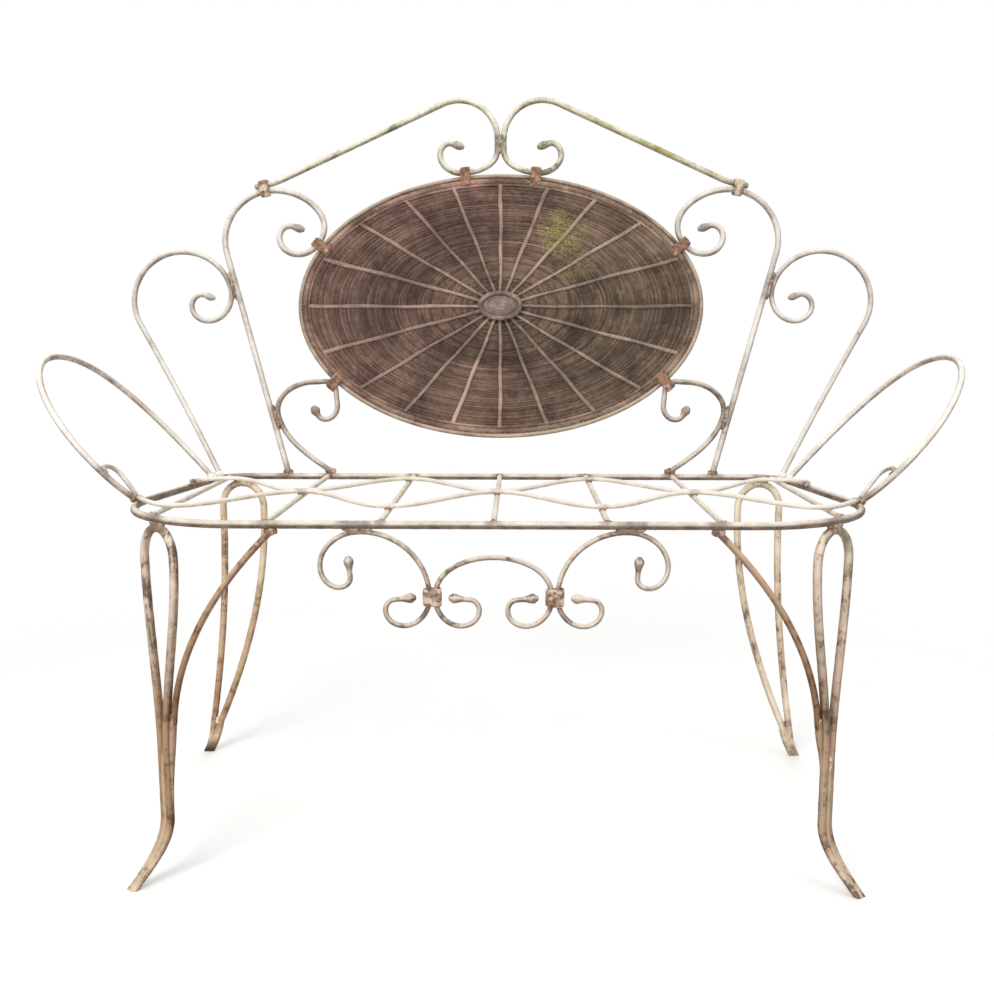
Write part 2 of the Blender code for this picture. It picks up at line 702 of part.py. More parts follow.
def ray_to_oval(start, way, half_width, half_height):
    """Distance from a start near the middle of an oval, along way, to its edge."""
    squash = Vector((1.0 / half_width, 1.0 / half_height, 0.0))
    p, d = start * squash, way * squash
    a, b, c = d.dot(d), p.dot(d), p.dot(p) - 1.0
    return (sqrt(b * b - a * c) - b) / a


def star_outline(edge):
    """Flat spokes that widen from the hub to the hoop, as one outline."""
    centre = Vector((0.0, OVAL_CENTRE, 0.0))
    hub = (HUB_HALF_WIDTH, HUB_HALF_HEIGHT)
    hoop = (OVAL_HALF_WIDTH - edge - WELD_GAP, OVAL_HALF_HEIGHT - edge - WELD_GAP)
    outline = []
    for i in range(SPOKES):
        step = toward(360.0 * i / SPOKES)
        way = Vector((step.x, step.y * SPOKE_SQUASH, 0.0)).normalized()
        side = Vector((-way.y, way.x, 0.0))
        for width, edge_of in (
            (-SPOKE_ROOT, hub),
            (-SPOKE_WIDTH, hoop),
            (SPOKE_WIDTH, hoop),
            (SPOKE_ROOT, hub),
        ):
            start = side * width / 2
            outline.append(centre + start + way * ray_to_oval(start, way, *edge_of))
    return outline


def arm_base():
    """The arm's feet on the right side of the ring, and the way outwards from the seat."""
    front, rear = front_corner(ARM_FOOT_ANGLE), rear_corner(SIDE_FLARE)
    along = (rear - front).normalized()
    return front, rear, Vector((along.y, -along.x, 0.0))


def arm_path(length):
    skew = sin(radians(SIDE_FLARE - ARM_FOOT_ANGLE)) * sin(radians(ARM_LEAN))
    start = foot_height(SCROLL_BAR, ARM_START) + SCROLL_BAR / 2 * skew
    path = Path((0.0, start, 0.0), toward(ARM_START))
    path.run(SCROLL_BAR)
    path.bend((-ARM_BULGE, ARM_BULGE_UP, 0.0), (0.0, 1.0, 0.0))
    path.bend((ARM_TOP_BACK, ARM_TOP_UP, 0.0), (1.0, 0.0, 0.0))
    end = Vector((length, foot_height(SCROLL_BAR, ARM_END), 0.0))
    path.bend(end - toward(ARM_END) * SCROLL_BAR, toward(ARM_END))
    path.run(SCROLL_BAR)
    return path


def point_at(path, height):
    """First point of a path that comes up to this height, and its way there."""
    for a, b in zip(path.points, path.points[1:]):
        if (a.y - height) * (b.y - height) <= 0.0:
            return a.lerp(b, (height - a.y) / (b.y - a.y)), (b - a).normalized()
    raise ValueError("the path does not reach this height")


def hook_path(arm):
    """A short rod that rises inside the arm's front foot and bends over to meet the arm."""
    front, rear, out = arm_base()
    foot = front + (rear - front).normalized() * HOOK_FOOT
    bulge = (ring_half_width(foot.y) - foot.x) * out.x
    start = RING_SEAT + bulge * sin(radians(ARM_LEAN))
    top = Vector((HOOK_FOOT - HOOK_BEND, HOOK_TOP, 0.0))
    meet, slant = point_at(arm, HOOK_TOP - ROD)
    tip = meet.x + ((SCROLL_BAR + ROD) / 2 + WELD_GAP) / slant.y
    path = Path((HOOK_FOOT, start, bulge * cos(radians(ARM_LEAN))), (0.0, 1.0, 0.0))
    path.run(ROD)
    path.bend((HOOK_FOOT, HOOK_TOP - HOOK_BEND, 0.0), (0.0, 1.0, 0.0))
    path.bend(top, (-1.0, 0.0, 0.0))
    path.bend((tip, HOOK_TOP - ROD, 0.0), (0.0, -1.0, 0.0))
    return path


def make_arms(root):
    front, rear, out = arm_base()
    path = arm_path((rear - front).length)
    hook = hook_path(path)
    lean = radians(ARM_LEAN)
    for side, sign in (("right", 1.0), ("left", -1.0)):
        flip = Vector((sign, 1.0, 1.0))
        origin = front * flip + Vector((0.0, 0.0, SEAT_HEIGHT))
        up = out * flip * sin(lean) + Vector((0.0, 0.0, cos(lean)))
        holder = frame("arm_frame_" + side, origin, (rear - front) * flip, up, root)
        bar("arm_" + side, path, SCROLL_BAR, holder, CREAM_PAINT)
        own = Path(hook.points[0], hook.way)
        own.points = [Vector((p.x, p.y, p.z * sign)) for p in hook.points]
        own.swell = hook.swell
        bar("arm_hook_" + side, own, ROD, holder, CREAM_PAINT, ROD_SIDES)


def front_limb(side, kick):
    """One limb of a front hairpin, from its top to the ground; the two taper together in the toe."""
    apart = (LEG_BAR + WELD_GAP) / 2
    path = Path((0.0, LEG_TOP, 0.0), (side, 0.0, 0.0))
    path.bend((side * LEG_HALF, LEG_TOP - LEG_SHOULDER, 0.0), (0.0, -1.0, 0.0))
    path.bend((LEG_SPLAY + side * apart, -LEG_PAIR, 0.0), (0.0, -1.0, 0.0))
    path.line((LEG_SPLAY + side * apart, -LEG_KNEE, 0.0))
    slope = radians(TOE_SLOPE)
    level = Vector((TOE_ASIDE, 0.0, kick * TOE_KICK))
    way = level.normalized() * cos(slope) - Vector((0.0, sin(slope), 0.0))
    close = (LEG_BAR * TOE_TAPER / sqrt(1.0 - way.x**2) + WELD_GAP) / 2
    path.bend(level + Vector((LEG_SPLAY + side * close, -SEAT_HEIGHT, 0.0)), way, TOE_TAPER)
    path.run(LEG_BAR)
    return path


def rear_limb(side):
    """One limb of a rear hairpin; the inner one comes across and lies along the outer one's toe."""
    way = toward(REAR_LIMB_WAY)
    toe = Path((REAR_SPREAD, -REAR_KNEE, 0.0), way)
    ground = -SEAT_HEIGHT / cos(radians(REAR_RAKE))
    toe.bend((REAR_SPREAD + REAR_TOE_OUT, ground, 0.0), toward(-REAR_TOE_SLOPE), TOE_TAPER)
    toe.run(LEG_BAR)
    spots = list(zip(toe.points, toe.swell)) if side > 0.0 else toe.beside(LEG_BAR)
    path = Path((0.0, LEG_TOP, 0.0), (side, 0.0, 0.0))
    path.bend((side * REAR_HALF, LEG_TOP - LEG_SHOULDER, 0.0), (0.0, -1.0, 0.0))
    path.bend(spots[0][0], way if side > 0.0 else toward(REAR_JOIN_WAY))
    for spot, swell in spots[1:]:
        path.add(spot, swell)
    return path


def make_legs(root):
    stand = front_corner(LEG_CORNER_ANGLE)
    tangent = toward(LEG_CORNER_ANGLE + 90.0)
    rear_stand = rear_corner(REAR_LEG_ANGLE)
    rake = radians(REAR_RAKE)
    level = Vector((0.0, 0.0, SEAT_HEIGHT))
    for side, sign in (("right", 1.0), ("left", -1.0)):
        flip = Vector((sign, 1.0, 1.0))
        name = "front_leg_" + side
        holder = frame("front_leg_frame_" + side, stand * flip + level, tangent * flip, (0, 0, 1), root)
        path = front_limb(-1.0, sign).joined(front_limb(1.0, sign))
        cut_at_ground(bar(name, path, LEG_BAR, holder, TAN_PAINT))
        make_brace(side, flip, holder, path, root)
        up = (0.0, -sin(rake), cos(rake))
        holder = frame("rear_leg_frame_" + side, rear_stand * flip + level, (sign, 0, 0), up, root)
        path = rear_limb(-1.0).joined(rear_limb(1.0))
        cut_at_ground(bar("rear_leg_" + side, path, LEG_BAR, holder, TAN_PAINT))


def make_brace(side, flip, leg_holder, leg, root):
    """From under the front rail to the side of the front leg's inner limb."""
    start = Vector((FRONT_STRAIGHT - BRACE_INSET, 0.0, 0.0)) * flip + Vector((0, 0, SEAT_HEIGHT))
    at, way = point_at(leg, BRACE_END_HEIGHT - SEAT_HEIGHT)
    if way.y > 0.0:
        way = -way
    limb = leg_holder.matrix_basis @ at
    limb_way = leg_holder.matrix_basis.to_3x3() @ way
    reach = Vector((limb.x - start.x, limb.y - start.y, 0.0))
    holder = frame("brace_frame_" + side, start, reach, (0, 0, 1), root)
    inverse = holder.matrix_basis.inverted()
    end_way = inverse.to_3x3() @ limb_way
    off = Vector((1.0, 0.0, 0.0))
    off = (off - end_way * off.dot(end_way)).normalized()
    end = inverse @ limb - off * ((LEG_BAR + SCROLL_BAR) / 2 + WELD_GAP)
    path = Path((0.0, -foot_height(SCROLL_BAR, BRACE_START), 0.0), toward(BRACE_START))
    path.run(SCROLL_BAR)
    path.bend(end, end_way)
    bar("front_brace_" + side, path, SCROLL_BAR, holder, TAN_PAINT)


def apron_scroll():
    """From the leaf inside the outer curl, along under the rail and down to the waist curl."""
    top = Vector((APRON_TOP, -RING_SEAT - ROD / 2, 0.0))
    outer = Path(top, (1.0, 0.0, 0.0))
    outer.curl(*APRON_OUTER_CURL)
    outer.run(LEAF_LENGTH / 2)
    outer.tip(LEAF, ROD)
    inner = Path(top, (-1.0, 0.0, 0.0))
    inner.bend((APRON_WAIST + (ROD + WELD_GAP) / 2, -APRON_DROP, 0.0), (0.0, -1.0, 0.0))
    waist_curl(inner, 1.0)
    return outer.joined(inner)


def waist_curl(path, side):
    first, last, turn = APRON_LOWER_CURL
    path.curl(first, last, side * turn)
    path.run(LEAF_LENGTH / 2)
    path.tip(LEAF, ROD)


def apron_arch():
    half = Path((0.0, -ARCH_TOP, 0.0), (1.0, 0.0, 0.0))
    half.bend((APRON_WAIST - (ROD + WELD_GAP) / 2, -APRON_DROP, 0.0), (0.0, -1.0, 0.0))
    waist_curl(half, -1.0)
    return half.mirrored().joined(half)


def make_apron(holder):
    scroll, arch = apron_scroll(), apron_arch()
    pair("apron_scroll", scroll, ROD, holder, CREAM_PAINT, ROD_SIDES)
    bar("apron_arch", arch, ROD, holder, CREAM_PAINT, ROD_SIDES)
    centre = Vector((APRON_WAIST, -APRON_DROP, 0.0))
    bars = [(scroll, ROD), (arch, ROD)]
    collar_pair("apron_collar", centre, (0.0, -1.0, 0.0), bars, APRON_COLLAR, holder)


def middle_of_depth():
    """Half-way between the foremost point, on the apron's collars, and the back of the crest."""
    foremost = -max(FRAME_BAR / 2, ROD / 2 + WELD_GAP + COLLAR_WALL)
    centre, _ = crest_line()
    slant = radians(RECLINE)
    hindmost = SEAT_DEPTH + (centre.y + CREST_LOOP) * sin(slant) + BACK_BAR / 2
    return (foremost + hindmost) / 2


def main():
    clear_scene()
    root = frame("bench", (0.0, -middle_of_depth(), 0.0), (1, 0, 0), (0, 1, 0), None)
    seat = frame("seat_frame", (0.0, 0.0, SEAT_HEIGHT), (1, 0, 0), (0, 1, 0), root)
    slant = radians(RECLINE)
    back_up = (0.0, sin(slant), cos(slant))
    back = frame("back_frame", (0.0, SEAT_DEPTH, SEAT_HEIGHT), (1, 0, 0), back_up, root)
    apron = frame("apron_frame", (0.0, 0.0, SEAT_HEIGHT), (1, 0, 0), (0, 0, 1), root)
    make_seat(seat)
    make_back(back)
    make_panel(back)
    make_arms(root)
    make_legs(root)
    make_apron(apron)


main()
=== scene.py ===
import bpy
import numpy as np
from mathutils import Matrix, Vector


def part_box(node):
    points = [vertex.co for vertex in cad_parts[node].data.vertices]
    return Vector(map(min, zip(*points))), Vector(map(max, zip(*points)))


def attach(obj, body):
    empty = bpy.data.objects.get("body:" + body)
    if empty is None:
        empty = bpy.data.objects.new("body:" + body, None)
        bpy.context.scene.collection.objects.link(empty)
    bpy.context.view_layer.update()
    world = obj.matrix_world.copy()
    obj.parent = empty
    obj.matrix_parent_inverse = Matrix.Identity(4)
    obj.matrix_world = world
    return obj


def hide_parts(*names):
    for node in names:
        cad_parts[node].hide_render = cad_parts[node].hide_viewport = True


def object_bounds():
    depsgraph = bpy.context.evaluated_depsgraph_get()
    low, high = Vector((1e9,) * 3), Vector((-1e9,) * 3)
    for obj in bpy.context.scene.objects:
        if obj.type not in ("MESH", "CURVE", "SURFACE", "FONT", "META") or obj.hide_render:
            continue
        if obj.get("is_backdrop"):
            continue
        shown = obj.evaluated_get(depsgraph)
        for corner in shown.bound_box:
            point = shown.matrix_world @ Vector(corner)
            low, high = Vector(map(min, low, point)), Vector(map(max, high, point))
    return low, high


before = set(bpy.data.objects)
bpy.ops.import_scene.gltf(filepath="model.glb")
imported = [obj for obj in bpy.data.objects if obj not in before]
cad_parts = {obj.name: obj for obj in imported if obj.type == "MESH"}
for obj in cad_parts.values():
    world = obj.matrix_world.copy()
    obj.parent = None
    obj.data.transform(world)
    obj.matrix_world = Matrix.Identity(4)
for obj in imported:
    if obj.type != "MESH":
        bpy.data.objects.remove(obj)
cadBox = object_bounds()
print("frame:", len(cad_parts), "nodes")

# sizes that more than one piece uses, in metres and degrees
bench = {
    "frameBar": 0.0095, "legBar": 0.0105, "backBar": 0.009, "ringBar": 0.0065,     # bars by diameter
    "scrollBar": 0.008, "crossbar": 0.007, "rod": 0.006,
    "gap": 0.0003,          # between pieces that touch
    "seatHeight": 0.45, "seatDepth": 0.42, "recline": 8.0,
    "flare": 8.5,           # each side opens towards the front
    "frontCorner": 0.16, "rearCorner": 0.045,
    "ovalWide": 0.3015, "ovalHigh": 0.195, "ovalUp": 0.2565,
    "postStance": 0.0165, "rearOverhang": 0.059,
}
# front rail's axis to the middle of the bench
depthShift = -(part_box("seat_ring")[0].y + bench["frameBar"] / 2)
ringSeat = bench["frameBar"] / 2 + bench["gap"]
postFoot = bench["ovalWide"] + bench["postStance"]
rearStraight = postFoot + bench["rearOverhang"]
rearVertex = rearStraight + bench["rearCorner"] * np.tan(np.radians((90 - bench["flare"]) / 2))
frontVertex = rearVertex + bench["seatDepth"] * np.tan(np.radians(bench["flare"]))
frontStraight = frontVertex - bench["frontCorner"] * np.tan(np.radians((90 + bench["flare"]) / 2))


# vectors and frames
def vec(*numbers):
    return np.array(numbers, float)


def unitOf(v):
    return v / np.linalg.norm(v, axis=-1, keepdims=True)


def compass(degrees):
    a = np.radians(degrees)
    return vec(np.cos(a), np.sin(a), 0)


def circle(count):                      # even turns, the last one short of the first
    return np.arange(count) * 2 * np.pi / count


def standFrame(origin, across, up):     # rows of axes: across, up, and the way the plane faces
    x = unitOf(np.array(across, float))
    up = np.array(up, float)
    y = unitOf(up - x * (up @ x))
    return {"origin": np.array(origin, float) - vec(0, depthShift, 0),
            "axes": np.stack([x, y, np.cross(x, y)])}


def toWorld(stand, spots):
    return stand["origin"] + spots @ stand["axes"]


seatStand = standFrame((0, 0, bench["seatHeight"]), (1, 0, 0), (0, 1, 0))
lean = np.radians(bench["recline"])
backStand = standFrame((0, bench["seatDepth"], bench["seatHeight"]), (1, 0, 0),
                       (0, np.sin(lean), np.cos(lean)))
apronStand = standFrame((0, 0, bench["seatHeight"]), (1, 0, 0), (0, 0, 1))


# a bar's axis is a list of runs: each run goes on from the last spot
pathMesh = {
    "step": 0.001, "curlStep": 2,       # metres along a run, degrees round a curl
    "straight": 3, "bend": 8, "curl": 12, "whole": 6,       # fewest spots
    "tip": 40, "tipSmooth": 3,
    "same": 1e-7,                       # spots nearer than this are one
}


def newPath(start, way):
    return {"spots": [np.array([start], float)], "swell": [np.ones(1)], "way": unitOf(np.array(way, float))}


def wholePath(spots, way, swell=None):  # a line that is known as a whole
    return {"spots": [spots], "swell": [np.ones(len(spots)) if swell is None else swell], "way": way}


def lastSpot(path):
    return path["spots"][-1][-1]


def addRun(path, spots, swell=None):
    path["spots"].append(spots)
    path["swell"].append(np.full(len(spots), path["swell"][-1][-1]) if swell is None else swell)


def goTo(path, end):                    # straight
    start = lastSpot(path)
    gap = np.array(end, float) - start
    length = np.linalg.norm(gap)
    count = max(pathMesh["straight"], int(length / pathMesh["step"]))
    addRun(path, start + gap * np.linspace(0, 1, count)[1:, None])
    path["way"] = gap / length


def goOn(path, distance):
    goTo(path, lastSpot(path) + path["way"] * distance)


# cubic bend, its handles the chord over 3 times the squared cosine of turn / 4
def goBend(path, end, way, swell=1.0):
    start, end, way = lastSpot(path), np.array(end, float), unitOf(np.array(way, float))
    chord = np.linalg.norm(end - start)
    turn = np.arccos(np.clip(path["way"] @ way, -1, 1))
    reach = chord / (3 * np.cos(turn / 4) ** 2)
    a, b = start + path["way"] * reach, end - way * reach
    t = np.linspace(0, 1, max(pathMesh["bend"], int(chord / pathMesh["step"])))[1:, None]
    s = 1 - t
    fat = swell - (swell - path["swell"][-1][-1]) * (s**2 * (1 + 2 * t))[:, 0]
    addRun(path, start * s**3 + a * 3 * s * s * t + b * 3 * s * t * t + end * t**3, fat)
    path["way"] = way


def goCurl(path, firstRadius, lastRadius, turn):    # radius shrinks by the same share for each degree
    count = max(pathMesh["curl"], int(abs(turn) / pathMesh["curlStep"]))
    step = np.radians(turn) / count
    middle = np.arange(count) + 0.5
    radius = firstRadius * (lastRadius / firstRadius) ** (middle / count)
    begin = np.arctan2(path["way"][1], path["way"][0])
    heading = begin + step * middle
    chord = 2 * radius * np.sin(abs(step) / 2)
    moves = np.stack([np.cos(heading), np.sin(heading), 0 * heading], 1) * chord[:, None]
    addRun(path, lastSpot(path) + np.cumsum(moves, 0))
    path["way"] = compass(np.degrees(begin + step * count))


def goTip(path, profile, diameter):     # swollen end: distances in diameters, with the swell there
    far, fat = np.array(profile).T
    d = np.linspace(0, far[-1], pathMesh["tip"])[1:]
    knots = np.concatenate([[0], far])
    swell = np.interp(d, knots, np.concatenate([[1], fat]))
    k = pathMesh["tipSmooth"]
    swell = np.convolve(np.pad(swell, k, mode="edge"), np.ones(2 * k + 1) / (2 * k + 1), "valid")
    addRun(path, lastSpot(path) + path["way"] * (d * diameter)[:, None], swell)


def mirrored(path):
    spots = np.concatenate(path["spots"]) * vec(-1, 1, 1)
    return wholePath(spots, path["way"] * vec(-1, 1, 1), np.concatenate(path["swell"]))


def joined(first, second):              # first run backwards, then second: they share their start
    spots = np.concatenate([np.concatenate(first["spots"])[:0:-1], np.concatenate(second["spots"])])
    swell = np.concatenate([np.concatenate(first["swell"])[:0:-1], np.concatenate(second["swell"])])
    return wholePath(spots, second["way"], swell)


def settle(path, step, closed=False):   # the same line with spots at even distances
    spots, swell = np.concatenate(path["spots"]), np.concatenate(path["swell"])
    if closed:
        spots, swell = np.vstack([spots, spots[:1]]), np.append(swell, swell[0])
    gaps = np.linalg.norm(np.diff(spots, axis=0), axis=1)
    keep = np.append(True, gaps > pathMesh["same"])
    spots, swell = spots[keep], swell[keep]
    far = np.append(0, np.cumsum(np.linalg.norm(np.diff(spots, axis=0), axis=1)))
    even = np.linspace(0, far[-1], max(pathMesh["whole"], int(far[-1] / step)) + 1)
    out = np.stack([np.interp(even, far, spots[:, k]) for k in range(3)], 1)
    fat = np.interp(even, far, swell)
    return (out[:-1], fat[:-1], even[:-1]) if closed else (out, fat, even)


# colours are written as they look, 0 to 255, and go through the screen's curve
def tone(r, g, b):
    c = vec(r, g, b) / 255
    lin = np.where(c <= 0.04045, c / 12.92, ((c + 0.055) / 1.055) ** 2.4)
    return (*lin.tolist(), 1.0)


# short ways to lay shader nodes
def put(tree, socket, value):
    if isinstance(value, bpy.types.NodeSocket):
        tree.links.new(value, socket)
    else:
        socket.default_value = value


def calc(tree, job, a, b=0.0):
    node = tree.nodes.new("ShaderNodeMath")
    node.operation = job
    put(tree, node.inputs[0], a)
    put(tree, node.inputs[1], b)
    return node.outputs[0]


def times(tree, value, share):
    return calc(tree, "MULTIPLY", value, share)


def weigh(tree, values, shares):        # sum of the values, each times its share
    parts = [times(tree, value, share) for value, share in zip(values, shares)]
    total = parts[0]
    for part in parts[1:]:
        total = calc(tree, "ADD", total, part)
    return total


def sway(tree, noise, share):           # a noise about its middle, times a share
    return times(tree, calc(tree, "SUBTRACT", noise, 0.5), share)


def lessOf(tree, start, value, share):  # start, lowered by a share of the value
    return calc(tree, "SUBTRACT", start, times(tree, value, share))


def fade(tree, value, low, high, to0=0.0, to1=1.0):     # smooth step from low to high
    node = tree.nodes.new("ShaderNodeMapRange")
    node.interpolation_type = "SMOOTHSTEP"
    names = ("Value", "From Min", "From Max", "To Min", "To Max")
    for name, item in zip(names, (value, low, high, to0, to1)):
        put(tree, node.inputs[name], item)
    return node.outputs[0]


def blend(tree, share, a, b, how="MIX"):
    node = tree.nodes.new("ShaderNodeMix")
    node.data_type, node.blend_type = "RGBA", how
    put(tree, node.inputs[0], share)
    put(tree, node.inputs[6], a)
    put(tree, node.inputs[7], b)
    return node.outputs[2]


def tinted(tree, colour, by):           # one colour times another
    return blend(tree, 1.0, colour, by, "MULTIPLY")


def cloud(tree, where, scale, detail=3.0, rough=0.55):
    node = tree.nodes.new("ShaderNodeTexNoise")
    put(tree, node.inputs["Vector"], where)
    put(tree, node.inputs["Scale"], scale)
    put(tree, node.inputs["Detail"], detail)
    put(tree, node.inputs["Roughness"], rough)
    return node.outputs[0]


def objectSpots(tree):
    return tree.nodes.new("ShaderNodeTexCoord").outputs["Object"]


def splitSpots(tree, where):
    node = tree.nodes.new("ShaderNodeSeparateXYZ")
    put(tree, node.inputs[0], where)
    return node.outputs


def joinSpots(tree, *parts):
    node = tree.nodes.new("ShaderNodeCombineXYZ")
    for socket, part in zip(node.inputs, parts):
        put(tree, socket, part)
    return node.outputs[0]


def ownRun(tree):                       # length along a piece and turn round it, from its own map
    node = tree.nodes.new("ShaderNodeUVMap")
    node.uv_map = "run"
    return splitSpots(tree, node.outputs[0])


def attributeOf(tree, name):
    node = tree.nodes.new("ShaderNodeAttribute")
    node.attribute_name = name
    return node.outputs["Fac"]


def newGroup(name, inputs, outputs):
    tree = bpy.data.node_groups.new(name, "ShaderNodeTree")
    for label, kind, value in inputs:
        socket = tree.interface.new_socket(label, in_out="INPUT", socket_type="NodeSocket" + kind)
        socket.default_value = value
    for label, kind in outputs:
        tree.interface.new_socket(label, in_out="OUTPUT", socket_type="NodeSocket" + kind)
    return tree, tree.nodes.new("NodeGroupInput").outputs, tree.nodes.new("NodeGroupOutput").inputs


def useGroup(tree, group, **values):
    node = tree.nodes.new("ShaderNodeGroup")
    node.node_tree = group
    for label, value in values.items():
        put(tree, node.inputs[label], value)
    return node.outputs


# in the tables below a noise is its scale, detail and roughness, and an edge is where it starts and is full
skinOut = [("Color", "Color"), ("Roughness", "Float"), ("Height", "Float")]
dullEdge = (0.2, 0.8)                   # of the noise that varies the roughness

# lichen: fine specks, thicker where the mask is strong
lichenGrain = {
    # scale of the specks, and of the patches as a share of it
    "size": 420.0, "speck": (4.0, 0.75), "patch": 0.16,
    "shares": (0.6, 0.4),               # of specks and patches
    "level": 0.80, "byMask": 0.40, "soft": (-0.07, 0.16), "fullMask": 0.35,
    "hueEdge": (0.35, 0.65), "hues": ((116, 108, 58), (178, 170, 104)),
}


def lichenGroup():
    s = lichenGrain
    tree, given, out = newGroup("lichenSpecks", [("Mask", "Float", 0.0), ("Size", "Float", s["size"])],
                                [("Cover", "Float"), ("Hue", "Color")])
    where = objectSpots(tree)
    specks = cloud(tree, where, given["Size"], *s["speck"])
    patches = cloud(tree, where, times(tree, given["Size"], s["patch"]))
    level = weigh(tree, (specks, patches), s["shares"])
    edge = lessOf(tree, s["level"], given["Mask"], s["byMask"])
    cover = fade(tree, level, *(calc(tree, "ADD", edge, off) for off in s["soft"]))
    put(tree, out["Cover"], times(tree, cover, fade(tree, given["Mask"], 0.0, s["fullMask"])))
    put(tree, out["Hue"], blend(tree, fade(tree, specks, *s["hueEdge"]), *(tone(*hue) for hue in s["hues"])))
    return tree


lichenSpecks = lichenGroup()


# a bar's own length and turn as a closed tube, so a pattern has no seam
def barSpots(tree, along, around):
    run = ownRun(tree)
    turn = times(tree, run[1], 2 * np.pi)
    ring = [times(tree, calc(tree, job, turn), around) for job in ("COSINE", "SINE")]
    return joinSpots(tree, times(tree, run[0], along), *ring)


# old paint: stained round the welds and chipped in flakes, with painted light and shade on it:
# painted highlight on faces towards the key light, painted shade in stain and rust colours on the far side
paintGrain = {
    "broad": (14.0, 3.0, 0.55), "patch": (40.0, 5.0, 0.68),
    "flake": (120.0, 6.0, 0.70), "grit": (620.0, 3.0, 0.7),
    "streak": (1.0, 5.0, 0.72), "streakRun": (21.0, 1.5),   # streaks lie along the bar
    "mottle": (0.42, 0.33, 0.25),       # shares of patch, streak and flake
    "tint": (0.7, 0.3),                 # shares of mottle and broad
    "stainEdge": (0.42, 0.58),          # tint from paint to stain
    "grimeAndShade": (0.4, 0.6), "grimeEdge": (0.38, 0.62),         # shares of grit and patch, from stain to rust
    # painted highlight: faces turned to the key light go back to the clean paint by this share
    "sunEdge": (0.55, 0.95), "paintedHighlight": 0.6,
    "shadeBreak": 1.2,                  # how far the mottle breaks the edge of the shade
    "bareEdge": (0.64, 0.71), "bareByWear": 0.18, "bareShare": 0.85,
    "hue": (22.0, 3.0), "hueEdge": (0.36, 0.64), "hues": ((242, 246, 222), (255, 236, 228)), "hueShare": 0.55,
    "spreadBreak": 0.9, "spreadEdge": (0.30, 0.95), "spreadShare": 0.68,
    "chip": (0.75, 0.30, 0.12),         # shares of flake, broad and stain
    "chipLevel": 0.90, "chipByWear": 0.45, "chipSoft": 0.10, "chipRust": 0.65, "chipShare": 0.9,
    "lichenShare": 0.9,
    "dull": (0.58, 0.76), "chipDull": 0.2,
    "lift": (0.35, -0.5, 0.4),          # heights of grit, chips and lichen
}


def agedPaintGroup():
    s = paintGrain
    tree, given, out = newGroup("agedPaint", [
        ("Paint", "Color", (0.6, 0.58, 0.5, 1)), ("Stain", "Color", (0.3, 0.24, 0.18, 1)),
        ("Rust", "Color", (0.12, 0.06, 0.035, 1)), ("Wear", "Float", 0.4), ("Under", "Float", 0.5),
        ("ShadeFrom", "Float", 0.6), ("ShadeTo", "Float", -0.1), ("Sunward", "Float", 0.0),
        ("NearWeld", "Float", 0.0), ("Lichen", "Float", 0.0), ("Ground", "Float", 0.0)], skinOut)
    where = objectSpots(tree)
    broad, patch, flake, grit = (cloud(tree, where, *s[name]) for name in ("broad", "patch", "flake", "grit"))
    streak = cloud(tree, barSpots(tree, *s["streakRun"]), *s["streak"])
    mottle = weigh(tree, (patch, streak, flake), s["mottle"])
    tint = weigh(tree, (mottle, broad), s["tint"])
    coat = blend(tree, fade(tree, tint, *s["stainEdge"]), given["Paint"], given["Stain"])
    muddy = fade(tree, weigh(tree, (grit, patch), s["grimeAndShade"]), *s["grimeEdge"])
    # one colour in stain and rust for the real stains round welds and for the painted shade
    grimeAndShade = blend(tree, muddy, given["Stain"], given["Rust"])
    # painted highlight: faces towards the key light keep the clean paint
    coat = blend(tree, fade(tree, given["Sunward"], *s["sunEdge"], 0.0, s["paintedHighlight"]), coat, given["Paint"])
    # painted shade: the side turned from the key light takes the stain and rust colours
    facing = calc(tree, "ADD", given["Sunward"], sway(tree, mottle, s["shadeBreak"]))
    shade = fade(tree, facing, given["ShadeFrom"], given["ShadeTo"])
    coat = blend(tree, times(tree, shade, given["Under"]), coat, grimeAndShade)
    bare = fade(tree, tint, *(lessOf(tree, level, given["Wear"], s["bareByWear"]) for level in s["bareEdge"]))
    coat = blend(tree, times(tree, bare, s["bareShare"]), coat, given["Rust"])
    # worn paint goes olive in some stretches and pink in others
    hue = blend(tree, fade(tree, cloud(tree, where, *s["hue"]), *s["hueEdge"]),
                *(tone(*h) for h in s["hues"]))
    coat = blend(tree, times(tree, given["Wear"], s["hueShare"]), coat, tinted(tree, coat, hue))
    # a stain spreads from each weld, and the darkening towards the ground the same way, broken up by the
    # patches
    stained = calc(tree, "MAXIMUM", given["NearWeld"], given["Ground"])
    spread = fade(tree, calc(tree, "ADD", stained, sway(tree, patch, s["spreadBreak"])), *s["spreadEdge"])
    coat = blend(tree, times(tree, spread, s["spreadShare"]), coat, grimeAndShade)
    # chips open where the noise passes a level that falls with wear; near the stains the noise is raised
    level = weigh(tree, (flake, broad, stained), s["chip"])
    edge = lessOf(tree, s["chipLevel"], given["Wear"], s["chipByWear"])
    chip = fade(tree, level, edge, calc(tree, "ADD", edge, s["chipSoft"]))
    iron = blend(tree, s["chipRust"], given["Stain"], given["Rust"])
    coat = blend(tree, times(tree, chip, s["chipShare"]), coat, iron)
    moss = useGroup(tree, lichenSpecks, Mask=given["Lichen"])
    coat = blend(tree, times(tree, moss["Cover"], s["lichenShare"]), coat, moss["Hue"])
    put(tree, out["Color"], coat)
    dull = fade(tree, grit, *dullEdge, *s["dull"])
    put(tree, out["Roughness"], calc(tree, "ADD", times(tree, chip, s["chipDull"]), dull))
    put(tree, out["Height"], weigh(tree, (grit, chip, moss["Cover"]), s["lift"]))
    return tree


